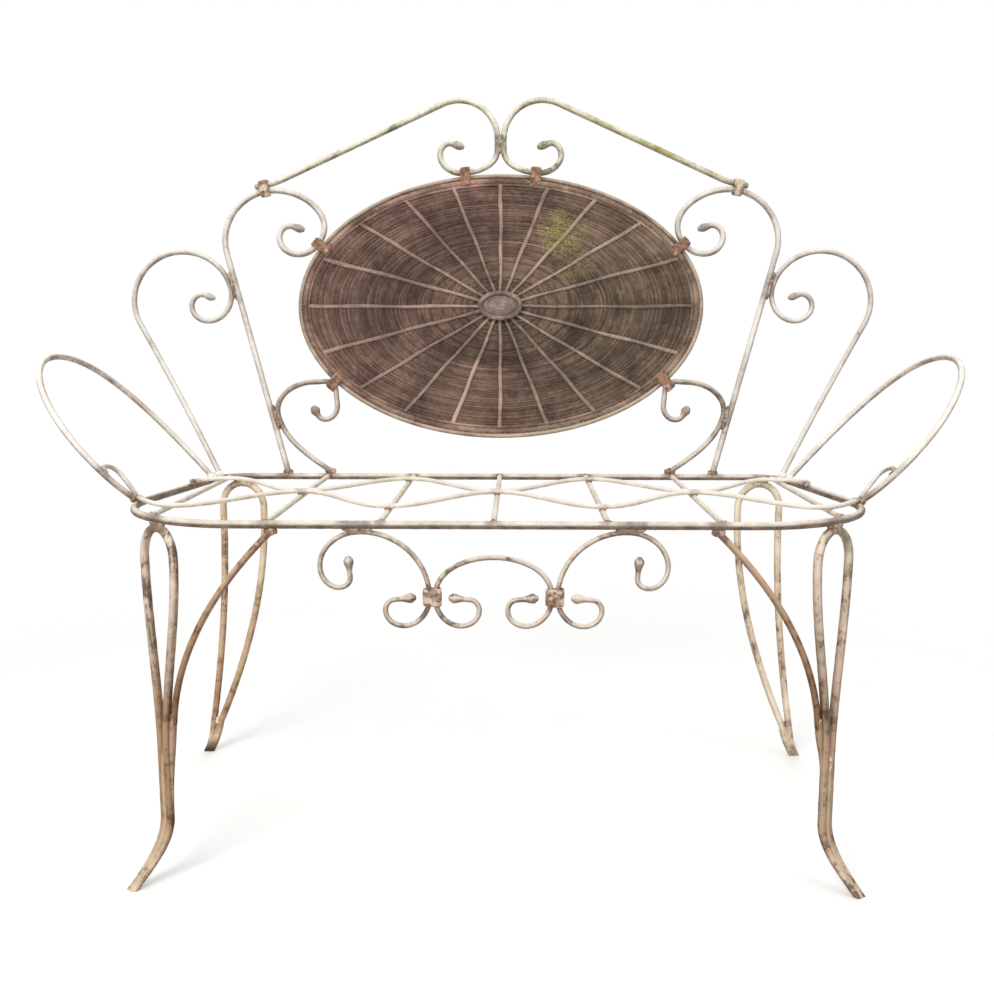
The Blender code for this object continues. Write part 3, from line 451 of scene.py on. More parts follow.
# rust scale: dark and orange flakes over a rough skin, with some paint left on it
rustGrain = {
    "flake": (170.0, 5.0, 0.65), "grit": (620.0, 3.0, 0.7), "left": (90.0, 4.0, 0.6),
    "flakeEdge": (0.36, 0.64),          # from dark to bright
    "dustEdge": (0.45, 0.75), "dust": (172, 126, 96), "dustShare": 0.35,
    "leftEdge": (0.78, 0.86), "byPainted": 0.5,
    "dull": (0.72, 0.95),
    "lift": (0.7, 0.4),                 # heights of flakes and grit
}


def rustGroup():
    s = rustGrain
    tree, given, out = newGroup("rustScale", [
        ("Dark", "Color", (0.08, 0.04, 0.03, 1)), ("Bright", "Color", (0.4, 0.18, 0.07, 1)),
        ("Paint", "Color", (0.5, 0.45, 0.38, 1)), ("Painted", "Float", 0.3)], skinOut)
    where = objectSpots(tree)
    flakes, grit, left = (cloud(tree, where, *s[name]) for name in ("flake", "grit", "left"))
    skin = blend(tree, fade(tree, flakes, *s["flakeEdge"]), given["Dark"], given["Bright"])
    dusty = times(tree, fade(tree, grit, *s["dustEdge"]), s["dustShare"])
    skin = blend(tree, dusty, skin, tone(*s["dust"]))
    left = fade(tree, left,
                *(lessOf(tree, level, given["Painted"], s["byPainted"]) for level in s["leftEdge"]))
    put(tree, out["Color"], blend(tree, left, skin, given["Paint"]))
    put(tree, out["Roughness"], fade(tree, grit, *dullEdge, *s["dull"]))
    put(tree, out["Height"], weigh(tree, (flakes, grit), s["lift"]))
    return tree


# plant fibre: streaks that run along the piece's own length and are fine across it
fibreGrain = {
    "streak": (1.0, 4.0, 0.6), "blotch": (38.0, 3.0, 0.6), "shares": (0.6, 0.4),
    "tintApart": 37.0,                  # moves each strand's streaks to another place in the noise
    "tintShare": 0.32, "edge": (0.24, 0.76), "dull": (0.68, 0.92),
}


def fibreGroup():
    s = fibreGrain
    tree, given, out = newGroup("plantFibre", [
        ("Light", "Color", (0.3, 0.25, 0.2, 1)), ("Dark", "Color", (0.08, 0.06, 0.05, 1)),
        ("Along", "Float", 30.0), ("Across", "Float", 12.0), ("Tint", "Float", 0.5)], skinOut)
    run = ownRun(tree)
    place = joinSpots(tree, times(tree, run[0], given["Along"]), times(tree, run[1], given["Across"]),
                      times(tree, given["Tint"], s["tintApart"]))
    streak = cloud(tree, place, *s["streak"])
    blotch = cloud(tree, objectSpots(tree), *s["blotch"])
    share = weigh(tree, (streak, blotch), s["shares"])
    share = calc(tree, "ADD", share, sway(tree, given["Tint"], s["tintShare"]))
    put(tree, out["Color"], blend(tree, fade(tree, share, *s["edge"]), given["Dark"], given["Light"]))
    put(tree, out["Roughness"], fade(tree, streak, *dullEdge, *s["dull"]))
    put(tree, out["Height"], streak)
    return tree


agedPaint, rustScale, plantFibre = agedPaintGroup(), rustGroup(), fibreGroup()


def newMaterial(name):
    material = bpy.data.materials.new(name)
    material.use_nodes = True
    return material, material.node_tree, material.node_tree.nodes["Principled BSDF"].inputs


# relief: specular level, strength and depth of the bump
def finishSkin(tree, shader, colour, skin, relief):
    put(tree, shader["Base Color"], colour)
    put(tree, shader["Roughness"], skin["Roughness"])
    shader["Specular IOR Level"].default_value = relief[0]
    bump = tree.nodes.new("ShaderNodeBump")
    bump.inputs["Strength"].default_value = relief[1]
    bump.inputs["Distance"].default_value = relief[2]
    put(tree, bump.inputs["Height"], skin["Height"])
    put(tree, shader["Normal"], bump.outputs[0])


# paint on each part of the frame: colours as they look, paint on the side towards the key light; shade says
# where the painted shade starts and is full, under how strong it is, tan how strong the wash of rust is and
# where it starts and is full, sole how dark the toe is and to what height
paintLooks = {
    "crestPaint": {"paint": (240, 238, 226), "stain": (174, 168, 147), "rust": (58, 51, 40), "wear": 0.62,
                   "under": 0.82, "shade": (0.66, 0.0)},
    "backPaint": {"paint": (233, 230, 222), "stain": (178, 166, 156), "rust": (94, 78, 69), "wear": 0.42,
                  "under": 0.84, "shade": (0.72, 0.1)},
    "lowPaint": {"paint": (218, 208, 198), "stain": (154, 138, 126), "rust": (80, 63, 54), "wear": 0.54,
                 "under": 0.86, "shade": (0.76, 0.2)},
    "ovalPaint": {"paint": (192, 176, 158), "stain": (140, 119, 103), "rust": (80, 63, 52), "wear": 0.50,
                  "under": 0.6, "shade": (0.7, 0.0)},
    "ringPaint": {"paint": (232, 226, 214), "stain": (142, 122, 107), "rust": (80, 63, 53), "wear": 0.38,
                  "under": 1.0, "shade": (0.84, 0.46)},
    "crossPaint": {"paint": (234, 229, 218), "stain": (202, 188, 172), "rust": (112, 89, 74), "wear": 0.44,
                   "under": 0.7, "shade": (0.56, -0.1)},
    "seatPaint": {"paint": (240, 236, 226), "stain": (220, 209, 194), "rust": (124, 100, 84), "wear": 0.26,
                  "under": 0.66, "shade": (0.56, -0.1)},
    "legPaint": {"paint": (238, 224, 208), "stain": (168, 147, 129), "rust": (74, 53, 43), "wear": 0.72,
                 "under": 0.86, "shade": (0.74, 0.12), "tan": (0.72, 0.38, 0.17), "ground": 0.55,
                 "sole": (0.5, 0.016)},
    "legPale": {"paint": (248, 235, 219), "stain": (178, 156, 137), "rust": (76, 55, 44), "wear": 0.72,
                "under": 0.86, "shade": (0.74, 0.12), "tan": (1.0, 0.38, 0.17), "ground": 0.15},
    "seamPaint": {"paint": (226, 211, 187), "stain": (176, 152, 126), "rust": (92, 71, 56), "wear": 0.60,
                  "under": 0.6, "shade": (0.6, -0.1), "tan": (0.5, 0.38, 0.17), "ground": 0.35},
    "bracePaint": {"paint": (222, 196, 167), "stain": (164, 134, 108), "rust": (76, 55, 43), "wear": 0.72,
                   "under": 0.82, "shade": (0.72, 0.1), "tan": (1.0, 0.48, 0.19)},
    "rearLegPaint": {"paint": (244, 232, 214), "stain": (200, 178, 154), "rust": (94, 72, 58), "wear": 0.62,
                     "under": 0.76, "shade": (0.62, 0.0), "tan": (0.1, 0.34, 0.12), "ground": 0.6,
                     "sole": (0.45, 0.03)},
    "rearLegTan": {"paint": (246, 230, 206), "stain": (198, 169, 136), "rust": (68, 48, 37), "wear": 0.62,
                   "under": 0.78, "shade": (0.62, 0.0), "tan": (0.75, 0.40, 0.08), "ground": 0.8,
                   "sole": (1.0, 0.03)},
    "apronPaint": {"paint": (230, 217, 206), "stain": (156, 138, 124), "rust": (72, 55, 46), "wear": 0.68,
                   "under": 0.86, "shade": (0.74, 0.1)},
    "armPaint": {"paint": (246, 243, 235), "stain": (198, 183, 171), "rust": (102, 84, 74), "wear": 0.34,
                 "under": 0.90, "shade": (0.68, 0.25)},
}


# darker towards the ground: heights, and the usual share
groundDarkening = {"from": 0.05, "full": 0.004, "share": 0.5}
# tan wash on the legs, weaker at the foot: heights and shares
tanWash = {"colour": (186, 161, 136), "foot": (0.0, 0.09, 0.45, 1.0)}
paintRelief, rustRelief, caneRelief = (0.35, 0.5, 0.0006), (0.25, 0.7, 0.0008), (0.2, 0.45, 0.0006)


def paintMaterial(name, look):
    material, tree, shader = newMaterial(name)
    height = splitSpots(tree, objectSpots(tree))[2]
    colours = {label: tone(*look[label.lower()]) for label in ("Paint", "Stain", "Rust")}
    # darker towards the ground
    most = look.get("ground", groundDarkening["share"])
    damp = fade(tree, height, groundDarkening["from"], groundDarkening["full"], 0.0, most)
    # under and shade set the painted shade on the side turned from the key light
    coat = useGroup(tree, agedPaint, **colours, Wear=look["wear"], Under=look["under"],
                    ShadeFrom=look["shade"][0], ShadeTo=look["shade"][1],
                    Sunward=attributeOf(tree, "sunward"),
                    NearWeld=attributeOf(tree, "nearWeld"), Lichen=attributeOf(tree, "lichen"), Ground=damp)
    colour = coat["Color"]
    if "tan" in look:
        share, high, low = look["tan"]
        wash = times(tree, fade(tree, height, *tanWash["foot"]), fade(tree, height, high, low, 0.0, share))
        colour = blend(tree, wash, colour, tinted(tree, colour, tone(*tanWash["colour"])))
    if "sole" in look:
        share, high = look["sole"]
        colour = blend(tree, fade(tree, height, high, 0.0, 0.0, share), colour, tone(*look["rust"]))
    finishSkin(tree, shader, colour, coat, paintRelief)
    return material


# rust on bands and beads: colours of the scale, colour and share of the paint that is left
rustLooks = {
    "collarRust": {"dark": (100, 76, 63), "bright": (166, 125, 101), "paint": (186, 162, 145),
                   "painted": 0.42},
    "paleCollar": {"dark": (104, 82, 68), "bright": (176, 145, 122), "paint": (210, 192, 172),
                   "painted": 0.66},
    "weldRust": {"dark": (108, 87, 75), "bright": (154, 127, 107), "paint": (182, 163, 147), "painted": 0.55},
    "weldPaint": {"dark": (176, 158, 140), "bright": (214, 200, 182), "paint": (244, 240, 230),
                  "painted": 0.85},
    "tanBead": {"dark": (146, 124, 102), "bright": (196, 174, 150), "paint": (228, 214, 194),
                "painted": 0.80},
}


def rustMaterial(name, look):
    material, tree, shader = newMaterial(name)
    colours = {label: tone(*look[label.lower()]) for label in ("Dark", "Bright", "Paint")}
    skin = useGroup(tree, rustScale, **colours, Painted=look["painted"])
    finishSkin(tree, shader, skin["Color"], skin, rustRelief)
    return material


# cane and rush: colours of the fibre, streaks along and across a strand, share of lichen
caneLooks = {
    "rushWeave": {"light": (142, 123, 111), "dark": (88, 73, 64), "along": 150.0, "across": 3.0,
                  "lichen": 0.85},
    "caneSpoke": {"light": (186, 168, 157), "dark": (136, 119, 109), "along": 40.0, "across": 16.0,
                  "lichen": 0.7},
    "caneWale": {"light": (150, 131, 120), "dark": (100, 84, 75), "along": 40.0, "across": 6.0,
                 "lichen": 0.7},
    "caneRim": {"light": (172, 150, 136), "dark": (108, 89, 79), "along": 18.0, "across": 5.0, "lichen": 0.5},
    "caneHub": {"light": (172, 156, 148), "dark": (118, 103, 96), "along": 30.0, "across": 6.0,
                "lichen": 0.0},
}


caneGrain = {
    # redder at one end of the oval, olive at the other
    "damp": (7.0, 2.0), "dampBreak": 0.5, "endEdge": (-0.16, 0.20),
    "ends": ((232, 209, 206), (220, 215, 200)), "endShare": 0.75,
    "broad": (12.0, 3.0, 0.6), "fine": (130.0, 3.0, 0.6), "field": (0.7, 0.3),
    "fieldEdge": (0.38, 0.62), "fieldGrey": (0.62, 1.30),
    "topEdge": (0.66, 0.88), "topGrey": (1.0, 1.16),                    # bleached towards the top
    "lichenSize": 330.0,
}


def greyOf(level):
    return (level, level, level, 1.0)


def caneMaterial(name, look):
    s = caneGrain
    material, tree, shader = newMaterial(name)
    fibre = useGroup(tree, plantFibre, Light=tone(*look["light"]), Dark=tone(*look["dark"]),
                     Along=look["along"], Across=look["across"], Tint=attributeOf(tree, "strand"))
    where = objectSpots(tree)
    axes = splitSpots(tree, where)
    side = calc(tree, "ADD", axes[0], sway(tree, cloud(tree, where, *s["damp"]), s["dampBreak"]))
    hue = blend(tree, fade(tree, side, *s["endEdge"]), *(tone(*end) for end in s["ends"]))
    colour = blend(tree, s["endShare"], fibre["Color"], tinted(tree, fibre["Color"], hue))
    field = weigh(tree, [cloud(tree, where, *s[noise]) for noise in ("broad", "fine")], s["field"])
    for value, edge, greys in ((field, s["fieldEdge"], s["fieldGrey"]),
                               (axes[2], s["topEdge"], s["topGrey"])):
        colour = tinted(tree, colour,
                        blend(tree, fade(tree, value, *edge), *(greyOf(grey) for grey in greys)))
    moss = useGroup(tree, lichenSpecks, Mask=attributeOf(tree, "lichen"), Size=s["lichenSize"])
    colour = blend(tree, times(tree, moss["Cover"], look["lichen"]), colour, moss["Hue"])
    finishSkin(tree, shader, colour, fibre, caneRelief)
    return material


finish = {name: paintMaterial(name, look) for name, look in paintLooks.items()}
finish.update({name: rustMaterial(name, look) for name, look in rustLooks.items()})
finish.update({name: caneMaterial(name, look) for name, look in caneLooks.items()})
print("finishes:", len(finish))


# meshes
def addAttribute(mesh, name, values):
    mesh.attributes.new(name, "FLOAT", "POINT").data.foreach_set("value", values.astype(np.float32).ravel())


def makePiece(name, spots, faces, look, loopUv=None, strand=None, node=None):
    mesh = bpy.data.meshes.new(name)
    mesh.from_pydata(spots.tolist(), [], faces)
    if loopUv is not None:
        mesh.uv_layers.new(name="run").data.foreach_set("uv", loopUv.astype(np.float32).ravel())
    if strand is not None:
        addAttribute(mesh, "strand", strand)
    mesh.shade_smooth()
    mesh.materials.append(finish[look])
    piece = bpy.data.objects.new(name, mesh)
    bpy.context.scene.collection.objects.link(piece)
    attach(piece, "root")
    if node:
        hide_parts(node)
    return piece


# quads between neighbouring rings, and the run of u and v at their corners
def gridFaces(rings, sides, closed):
    i, j = np.meshgrid(np.arange(rings if closed else rings - 1), np.arange(sides), indexing="ij")
    i2, j2 = (i + 1) % rings, (j + 1) % sides
    quads = np.stack([i * sides + j, i * sides + j2, i2 * sides + j2, i2 * sides + j], -1).reshape(-1, 4)
    corners = [np.stack(corner, -1) for corner in ((i, j), (i, j + 1), (i + 1, j + 1), (i + 1, j))]
    return quads, np.stack(corners, -2).reshape(-1, 4, 2)


def tubeEnds(first, rings, sides):      # the two end faces of a tube whose spots begin at first
    last = first + (rings - 1) * sides
    return [list(range(first + sides - 1, first - 1, -1)), list(range(last, last + sides))]


barMesh = {
    "step": 0.0026, "sides": 14, "domeRings": 4, "dome": 0.55, "domeTip": 0.05, "seed": 7,
    # hammer marks: waves per metre
    "hammer": 0.022, "hammerSunk": 0.4, "waves": 3, "waveRate": (28, 60),
    "footSpare": 1.3,                   # kept below the ground, in radii
}


# drops the run under the ground but for one spot at each end
def cutFeet(spots, swell, along, radius, stand):
    deep = toWorld(stand, spots)[:, 2] < -radius * barMesh["footSpare"]
    first, last = np.argmin(deep), len(deep) - 1 - np.argmin(deep[::-1])
    keep = slice(max(0, first - 1), last + 2)
    return spots[keep], swell[keep], along[keep]


def toGround(out, stand, spots):        # what is left below slides back along its own ring's way
    way = np.repeat(unitOf(np.gradient(spots, axis=0)) @ stand["axes"], barMesh["sides"], 0)
    under = np.minimum(out[:, 2], 0)
    slide = np.where(under < 0, under / np.where(under < 0, way[:, 2], 1), 0)
    return out - way * slide[:, None]


def sweepBar(spots, swell, along, radius, closed, seed, domed=True):
    # ring k: spot + radius * swell * (cos v * side + sin v * face), side = plane's normal x tangent,
    # with slow waves in the radius as a hammer leaves them, and a dome of shrinking rings on each end
    rng = np.random.default_rng(seed)
    sides = barMesh["sides"]
    tangent = unitOf(np.roll(spots, -1, 0) - np.roll(spots, 1, 0) if closed else np.gradient(spots, axis=0))
    if domed and not closed:
        bow = np.linspace(0, np.pi / 2, barMesh["domeRings"] + 1)[1:]
        rise, shrink = np.sin(bow), np.maximum(np.cos(bow), barMesh["domeTip"])
        head = spots[0] - tangent[0] * (rise[::-1] * radius * swell[0] * barMesh["dome"])[:, None]
        tail = spots[-1] + tangent[-1] * (rise * radius * swell[-1] * barMesh["dome"])[:, None]
        spots = np.vstack([head, spots, tail])
        swell = np.concatenate([swell[0] * shrink[::-1], swell, swell[-1] * shrink])
        tangent = np.vstack([np.repeat(tangent[:1], len(head), 0), tangent,
                             np.repeat(tangent[-1:], len(tail), 0)])
        along = np.concatenate([np.full(len(head), along[0]), along, np.full(len(tail), along[-1])])
    side = unitOf(np.cross(vec(0, 0, 1), tangent))
    face = np.cross(tangent, side)
    v = circle(sides)
    total = along[-1] + (along[1] - along[0] if closed else 0)
    turns = np.round(total * rng.uniform(*barMesh["waveRate"], barMesh["waves"]))
    waves = sum(np.cos(2 * np.pi * turn * along[:, None] / total + rng.integers(1, 4) * v[None]
                       + rng.uniform(0, 6))
                for turn in turns)
    r = radius * swell[:, None] * (1 + barMesh["hammer"] * (waves / barMesh["waves"] - barMesh["hammerSunk"]))
    out = spots[:, None] + (r * np.cos(v))[..., None] * side[:, None]
    out = out + (r * np.sin(v))[..., None] * face[:, None]
    quads, steps = gridFaces(len(spots), sides, closed)
    far = np.append(along, total)
    loopUv = np.stack([far[steps[..., 0]], steps[..., 1] / sides], -1).reshape(-1, 2)
    faces = quads.tolist()
    if not closed:
        faces += tubeEnds(0, len(spots), sides)
        loopUv = np.vstack([loopUv, np.zeros((2 * sides, 2))])
    return out.reshape(-1, 3), faces, loopUv


bars, strays, welds = [], [], []
beads = {       # half length and thickness, and the finish where it isn't rust; a stain has no length
    "crossbar": (0.0055, 0.0042), "waveEnd": (0.005, 0.0042), "waveCross": (0.0042, 0.0030),
    "crestWaist": (0.013, 0.0034), "postFoot": (0.0075, 0.0052),
    "sideTouch": (0.021, 0.0036), "sideFoot": (0.006, 0.005, "weldPaint"),
    "lowerTouch": (0.019, 0.0034), "lowerFoot": (0.0085, 0.0048),
    "armFront": (0.0065, 0.0050), "armRear": (0.0075, 0.0056, "weldPaint"),
    "hookFoot": (0.005, 0.0042), "hookTip": (0.007, 0.0040),
    "legTop": (0.013, 0.0046), "frontClose": (0.009, 0.0034, "tanBead"),
    "rearCloseRight": (0.004, 0.0022), "rearCloseLeft": (0.006, 0.0032, "tanBead"),
    "braceTop": (0.008, 0.0048), "apronTop": (0.017, 0.0034),
    "tipStain": (0.0, 0.006), "bandStain": (0.0, 0.010),
}


def weld(stand, spot, way, kind, both=False):   # remembered here, made once all bars are laid
    half, thick, look = (*beads[kind], "weldRust")[:3]
    for sign in ((1, -1) if both else (1,)):
        flip = vec(sign, 1, 1)
        place = toWorld(stand, np.array(spot, float) * flip)
        welds.append((place, (np.array(way, float) * flip) @ stand["axes"], half, thick, look))


def weldFaces(spot, way, kind, out, both=False):    # a bead on the front and on the rear of the back's plane
    weld(backStand, spot + vec(0, 0, out), way, kind, both)
    weld(backStand, spot - vec(0, 0, out), way, kind, both)


def darkTip(path):                      # a stain on both scrolls' ends, no bead
    weld(backStand, lastSpot(path) - path["way"] * beads["tipStain"][1], path["way"], "tipStain", True)


def layBar(node, path, diameter, stand, look, closed=False, onGround=False):
    spots, swell, along = settle(path, barMesh["step"], closed)
    if onGround:
        spots, swell, along = cutFeet(spots, swell, along, diameter / 2, stand)
    seed = len(bars) + barMesh["seed"]
    out, faces, loopUv = sweepBar(spots, swell, along, diameter / 2, closed, seed, not onGround)
    out = toWorld(stand, out)
    if onGround:
        out = toGround(out, stand, spots)
    bars.append(makePiece("bar_" + node, out, faces, look, loopUv, node=node))
    low, high = (np.array(corner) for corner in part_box(node))
    strays.append((float(max(np.abs(out.min(0) - low).max(), np.abs(out.max(0) - high).max())), node))


def layPair(name, path, diameter, stand, look):
    layBar(name + "_right", path, diameter, stand, look)
    layBar(name + "_left", mirrored(path), diameter, stand, look)


# seat
seatSettings = {
    "bays": 2, "pitch": 0.129, "endBarOut": 0.026, "waveInset": 0.088,
    "frontArc": 60, "rearArc": 40, "waveSpots": 500, "waveTries": 40,
    "endIn": 0.003, "endSunk": 0.002, "crossSunk": 0.0032,      # places of the wavy rods' beads
}


def frontCorner(angle):
    return vec(frontStraight, bench["frontCorner"], 0) + compass(angle) * bench["frontCorner"]


def rearCorner(angle):
    middle = vec(rearStraight, bench["seatDepth"] - bench["rearCorner"], 0)
    return middle + compass(angle) * bench["rearCorner"]


def ringHalfWidth(y):
    if y < frontCorner(bench["flare"])[1]:
        return frontStraight + np.sqrt(bench["frontCorner"] ** 2 - (bench["frontCorner"] - y) ** 2)
    if y > rearCorner(bench["flare"])[1]:
        return rearStraight + np.sqrt(bench["rearCorner"] ** 2
                                      - (y - bench["seatDepth"] + bench["rearCorner"]) ** 2)
    return frontVertex - y * np.tan(np.radians(bench["flare"]))


def ringPath():                         # straight rails and four corner arcs
    first = vec(frontStraight, bench["frontCorner"], 0)
    second = vec(rearStraight, bench["seatDepth"] - bench["rearCorner"], 0)
    a = np.radians(np.linspace(-90, bench["flare"], seatSettings["frontArc"]))[:, None]
    b = np.radians(np.linspace(bench["flare"], 90, seatSettings["rearArc"]))[:, None]
    right = np.vstack([first + bench["frontCorner"] * np.hstack([np.cos(a), np.sin(a), 0 * a]),
                       second + bench["rearCorner"] * np.hstack([np.cos(b), np.sin(b), 0 * b])])
    return wholePath(np.vstack([right, right[::-1] * vec(-1, 1, 1)]), vec(1, 0, 0))


# where a bar across the seat ends at the front and rear rails, clear of the ring
def railEnds(x, radius):
    ends = []
    rails = ((frontStraight, bench["frontCorner"], 0, 1),
             (rearStraight, bench["rearCorner"], bench["seatDepth"], -1))
    for straight, corner, rail, inward in rails:
        slant = np.arcsin(max(0.0, abs(x) - straight) / corner)
        inset = corner * (1 - np.cos(slant)) + ringSeat / np.cos(slant) + radius * np.tan(slant)
        ends.append(rail + inward * inset)
    return ends


def waveDepth(x, pitch, side):          # middle of the seat at even bays, near a rail at odd ones
    middle = bench["seatDepth"] / 2 + side * (bench["rod"] + bench["gap"]) / 2
    half = (bench["seatDepth"] / 2 - seatSettings["waveInset"]) / 2
    return middle + side * half * (1 - np.cos(np.pi * x / pitch))


def makeSeat():
    s = seatSettings
    layBar("seat_ring", ringPath(), bench["frameBar"], seatStand, "ringPaint", closed=True)
    pitch = s["pitch"]
    lift = (bench["frameBar"] - bench["crossbar"]) / 2
    places = [k * pitch for k in range(-s["bays"], s["bays"] + 1)]
    endBar = rearStraight + s["endBarOut"]
    names = [f"seat_crossbar_{k + 1}" for k in range(len(places))]
    names += ["seat_end_bar_left", "seat_end_bar_right"]
    for node, x in zip(names, places + [-endBar, endBar]):
        front, rear = railEnds(x, bench["crossbar"] / 2)
        path = newPath((x, front, lift), (0, 1, 0))
        goTo(path, (x, rear, lift))
        layBar(node, path, bench["crossbar"], seatStand, "crossPaint")
        weld(seatStand, (x, front, lift), (1, 0, 0), "crossbar")
        weld(seatStand, (x, rear, lift), (1, 0, 0), "crossbar")
    high = bench["frameBar"] / 2 + bench["gap"] + bench["rod"] / 2
    for node, side in (("seat_wave_rear", 1), ("seat_wave_front", -1)):
        reach = s["bays"] * pitch
        while reach + bench["rod"] / 2 < ringHalfWidth(waveDepth(reach, pitch, side)):
            reach += pitch / s["waveTries"]
        x = np.linspace(-reach, reach, s["waveSpots"])
        spots = np.stack([x, waveDepth(x, pitch, side), np.full_like(x, high)], 1)
        layBar(node, wholePath(spots, vec(1, 0, 0)), bench["rod"], seatStand, "seatPaint")
        end = (reach - s["endIn"], waveDepth(reach, pitch, side), high - s["endSunk"])
        weld(seatStand, end, (0, 1, 0), "waveEnd", True)
        for place in places:
            crossing = (place, waveDepth(place, pitch, side), high - s["crossSunk"])
            weld(seatStand, crossing, (1, 0, 0), "waveCross")


makeSeat()
print("seat:", len(bars), "bars")


# back
# swollen ends: distance and swell, in diameters
knob = ((0.5, 1.2), (1.0, 1.4), (1.5, 1.35), (1.9, 0.8))
ball = ((0.4, 1.3), (0.8, 1.75), (1.3, 1.8), (1.75, 1.1))
leaf = ((0.7, 1.35), (1.6, 2.0), (2.3, 1.85), (2.6, 0.9))
postSettings = {"angle": 27.0, "loop": 0.075, "loopOut": 0.066, "loopUp": 0.006, "curl": (0.044, 0.012, 250)}
crestSettings = {
    "angle": 80.0, "waist": 0.051, "weld": 0.016, "loop": 0.058, "lapWay": 169.0, "lap": 0.030,
    "overhang": 0.012, "curl": (0.043, 0.010, 205), "beadOut": 0.003,
}
sideSettings = {
    "contact": 0.288, "loop": 0.073, "drop": 0.020, "cornerAngle": 26.0, "fadeUp": 0.200,
    "curl": (0.048, 0.012, 305), "beadOut": 0.0028, "footBeadDown": 0.001,
}
lowerSettings = {
    "angle": -35.0, "contact": 0.088, "run": 0.079, "slope": 34.0, "topIn": 0.054, "topUp": 0.052,
    "neck": (0.013, 0.013, 41), "tail": 0.022, "curl": (0.025, 0.011, 155), "beadOut": 0.0028,
}


def oval(angle, out=0.0):               # spot on the oval, moved out along its normal
    c, s = np.cos(np.radians(angle)), np.sin(np.radians(angle))
    normal = unitOf(np.stack([bench["ovalHigh"] * c, bench["ovalWide"] * s, 0 * c], -1))
    spot = np.stack([bench["ovalWide"] * c, bench["ovalUp"] + bench["ovalHigh"] * s, 0 * c], -1)
    return spot + normal * out, normal


def ovalSeat(angle, diameter):
    spot, normal = oval(np.float64(angle), (bench["ringBar"] + diameter) / 2 + bench["gap"])
    return spot, vec(normal[1], -normal[0], 0)


def tangentWay(start, centre, radius):  # way of the line from start that touches a circle on its right
    gap = centre - start
    return np.degrees(np.arctan2(gap[1], gap[0]) - np.arcsin(radius / np.linalg.norm(gap)))


def onCircle(centre, radius, way):
    return centre + compass(way - 90) * radius


def footHeight(diameter, way):          # a slanted bar's end stands this far over the ring's axis
    return ringSeat + diameter / 2 * abs(np.cos(np.radians(way)))


postCentre = ovalSeat(postSettings["angle"], bench["backBar"])[0]
postCentre = postCentre + vec(postSettings["loopOut"], postSettings["loopUp"], 0)
postWay = tangentWay(vec(postFoot, 0, 0), postCentre, postSettings["loop"])


def besidePost(height, side):
    stem = vec(postFoot + height / np.tan(np.radians(postWay)), height, 0)
    return stem + compass(postWay - 90) * side * ((bench["backBar"] + bench["scrollBar"]) / 2 + bench["gap"])


def postPath():
    rise = footHeight(bench["backBar"], postWay)
    path = newPath((postFoot + rise / np.tan(np.radians(postWay)), rise, 0), compass(postWay))
    goTo(path, onCircle(postCentre, postSettings["loop"], postWay))
    goCurl(path, postSettings["loop"], postSettings["loop"], 180 - postWay)
    goBend(path, *ovalSeat(postSettings["angle"], bench["backBar"]))
    goCurl(path, *postSettings["curl"])
    goTip(path, knob, bench["backBar"])
    darkTip(path)
    return path


def crestPath():
    s = crestSettings
    seat, seatWay = ovalSeat(s["angle"], bench["backBar"])
    centre = vec((bench["backBar"] + bench["gap"]) / 2 + s["loop"], seat[1] + s["waist"], 0)
    contact = onCircle(postCentre, postSettings["loop"] + bench["backBar"] + bench["gap"], s["lapWay"])
    path = newPath(contact - compass(s["lapWay"]) * s["overhang"], compass(s["lapWay"]))
    goOn(path, s["overhang"])
    leave = contact + compass((s["lapWay"] + tangentWay(contact, centre, s["loop"])) / 2) * s["lap"]
    way = tangentWay(leave, centre, s["loop"])
    goBend(path, leave, compass(way))
    goTo(path, onCircle(centre, s["loop"], way))
    goCurl(path, s["loop"], s["loop"], 270 - way)
    goOn(path, s["weld"])
    weldFaces(vec(0, centre[1] - s["weld"] / 2, 0), (0, 1, 0), "crestWaist", s["beadOut"])
    goBend(path, seat, seatWay)
    goCurl(path, *s["curl"])
    goTip(path, knob, bench["backBar"])
    darkTip(path)
    return path


# foot on the seat's rear corner, ahead of the back's plane, fading into it
def sidePath():
    s = sideSettings
    stand, contact = rearCorner(s["cornerAngle"]), besidePost(s["contact"], 1)
    centre = contact + vec(s["loop"], -s["drop"], 0)
    behind = stand[1] - bench["seatDepth"]
    rise = footHeight(bench["scrollBar"], tangentWay(vec(stand[0], 0, 0), centre, s["loop"]))
    foot = vec(stand[0], behind * np.sin(lean) + rise * np.cos(lean), 0)
    ahead = rise * np.sin(lean) - behind * np.cos(lean)
    way = tangentWay(foot, centre, s["loop"])
    path = newPath(foot, compass(way))
    goTo(path, onCircle(centre, s["loop"], way))
    goCurl(path, s["loop"], s["loop"], 180 - way)
    goBend(path, contact, compass(postWay + 180))
    goCurl(path, *s["curl"])
    goTip(path, knob, bench["scrollBar"])
    darkTip(path)
    spots = np.concatenate(path["spots"])
    spots[:, 2] = ahead * (np.maximum(0, s["fadeUp"] - spots[:, 1]) / (s["fadeUp"] - foot[1])) ** 2
    touch = (contact + besidePost(s["contact"], 1) - compass(postWay - 90) * bench["scrollBar"]) / 2
    weldFaces(touch, compass(postWay), "sideTouch", s["beadOut"], True)
    weld(backStand, foot + vec(0, -s["footBeadDown"], ahead), (1, 0, 0.4), "sideFoot", True)
    return wholePath(spots, path["way"], np.concatenate(path["swell"]))


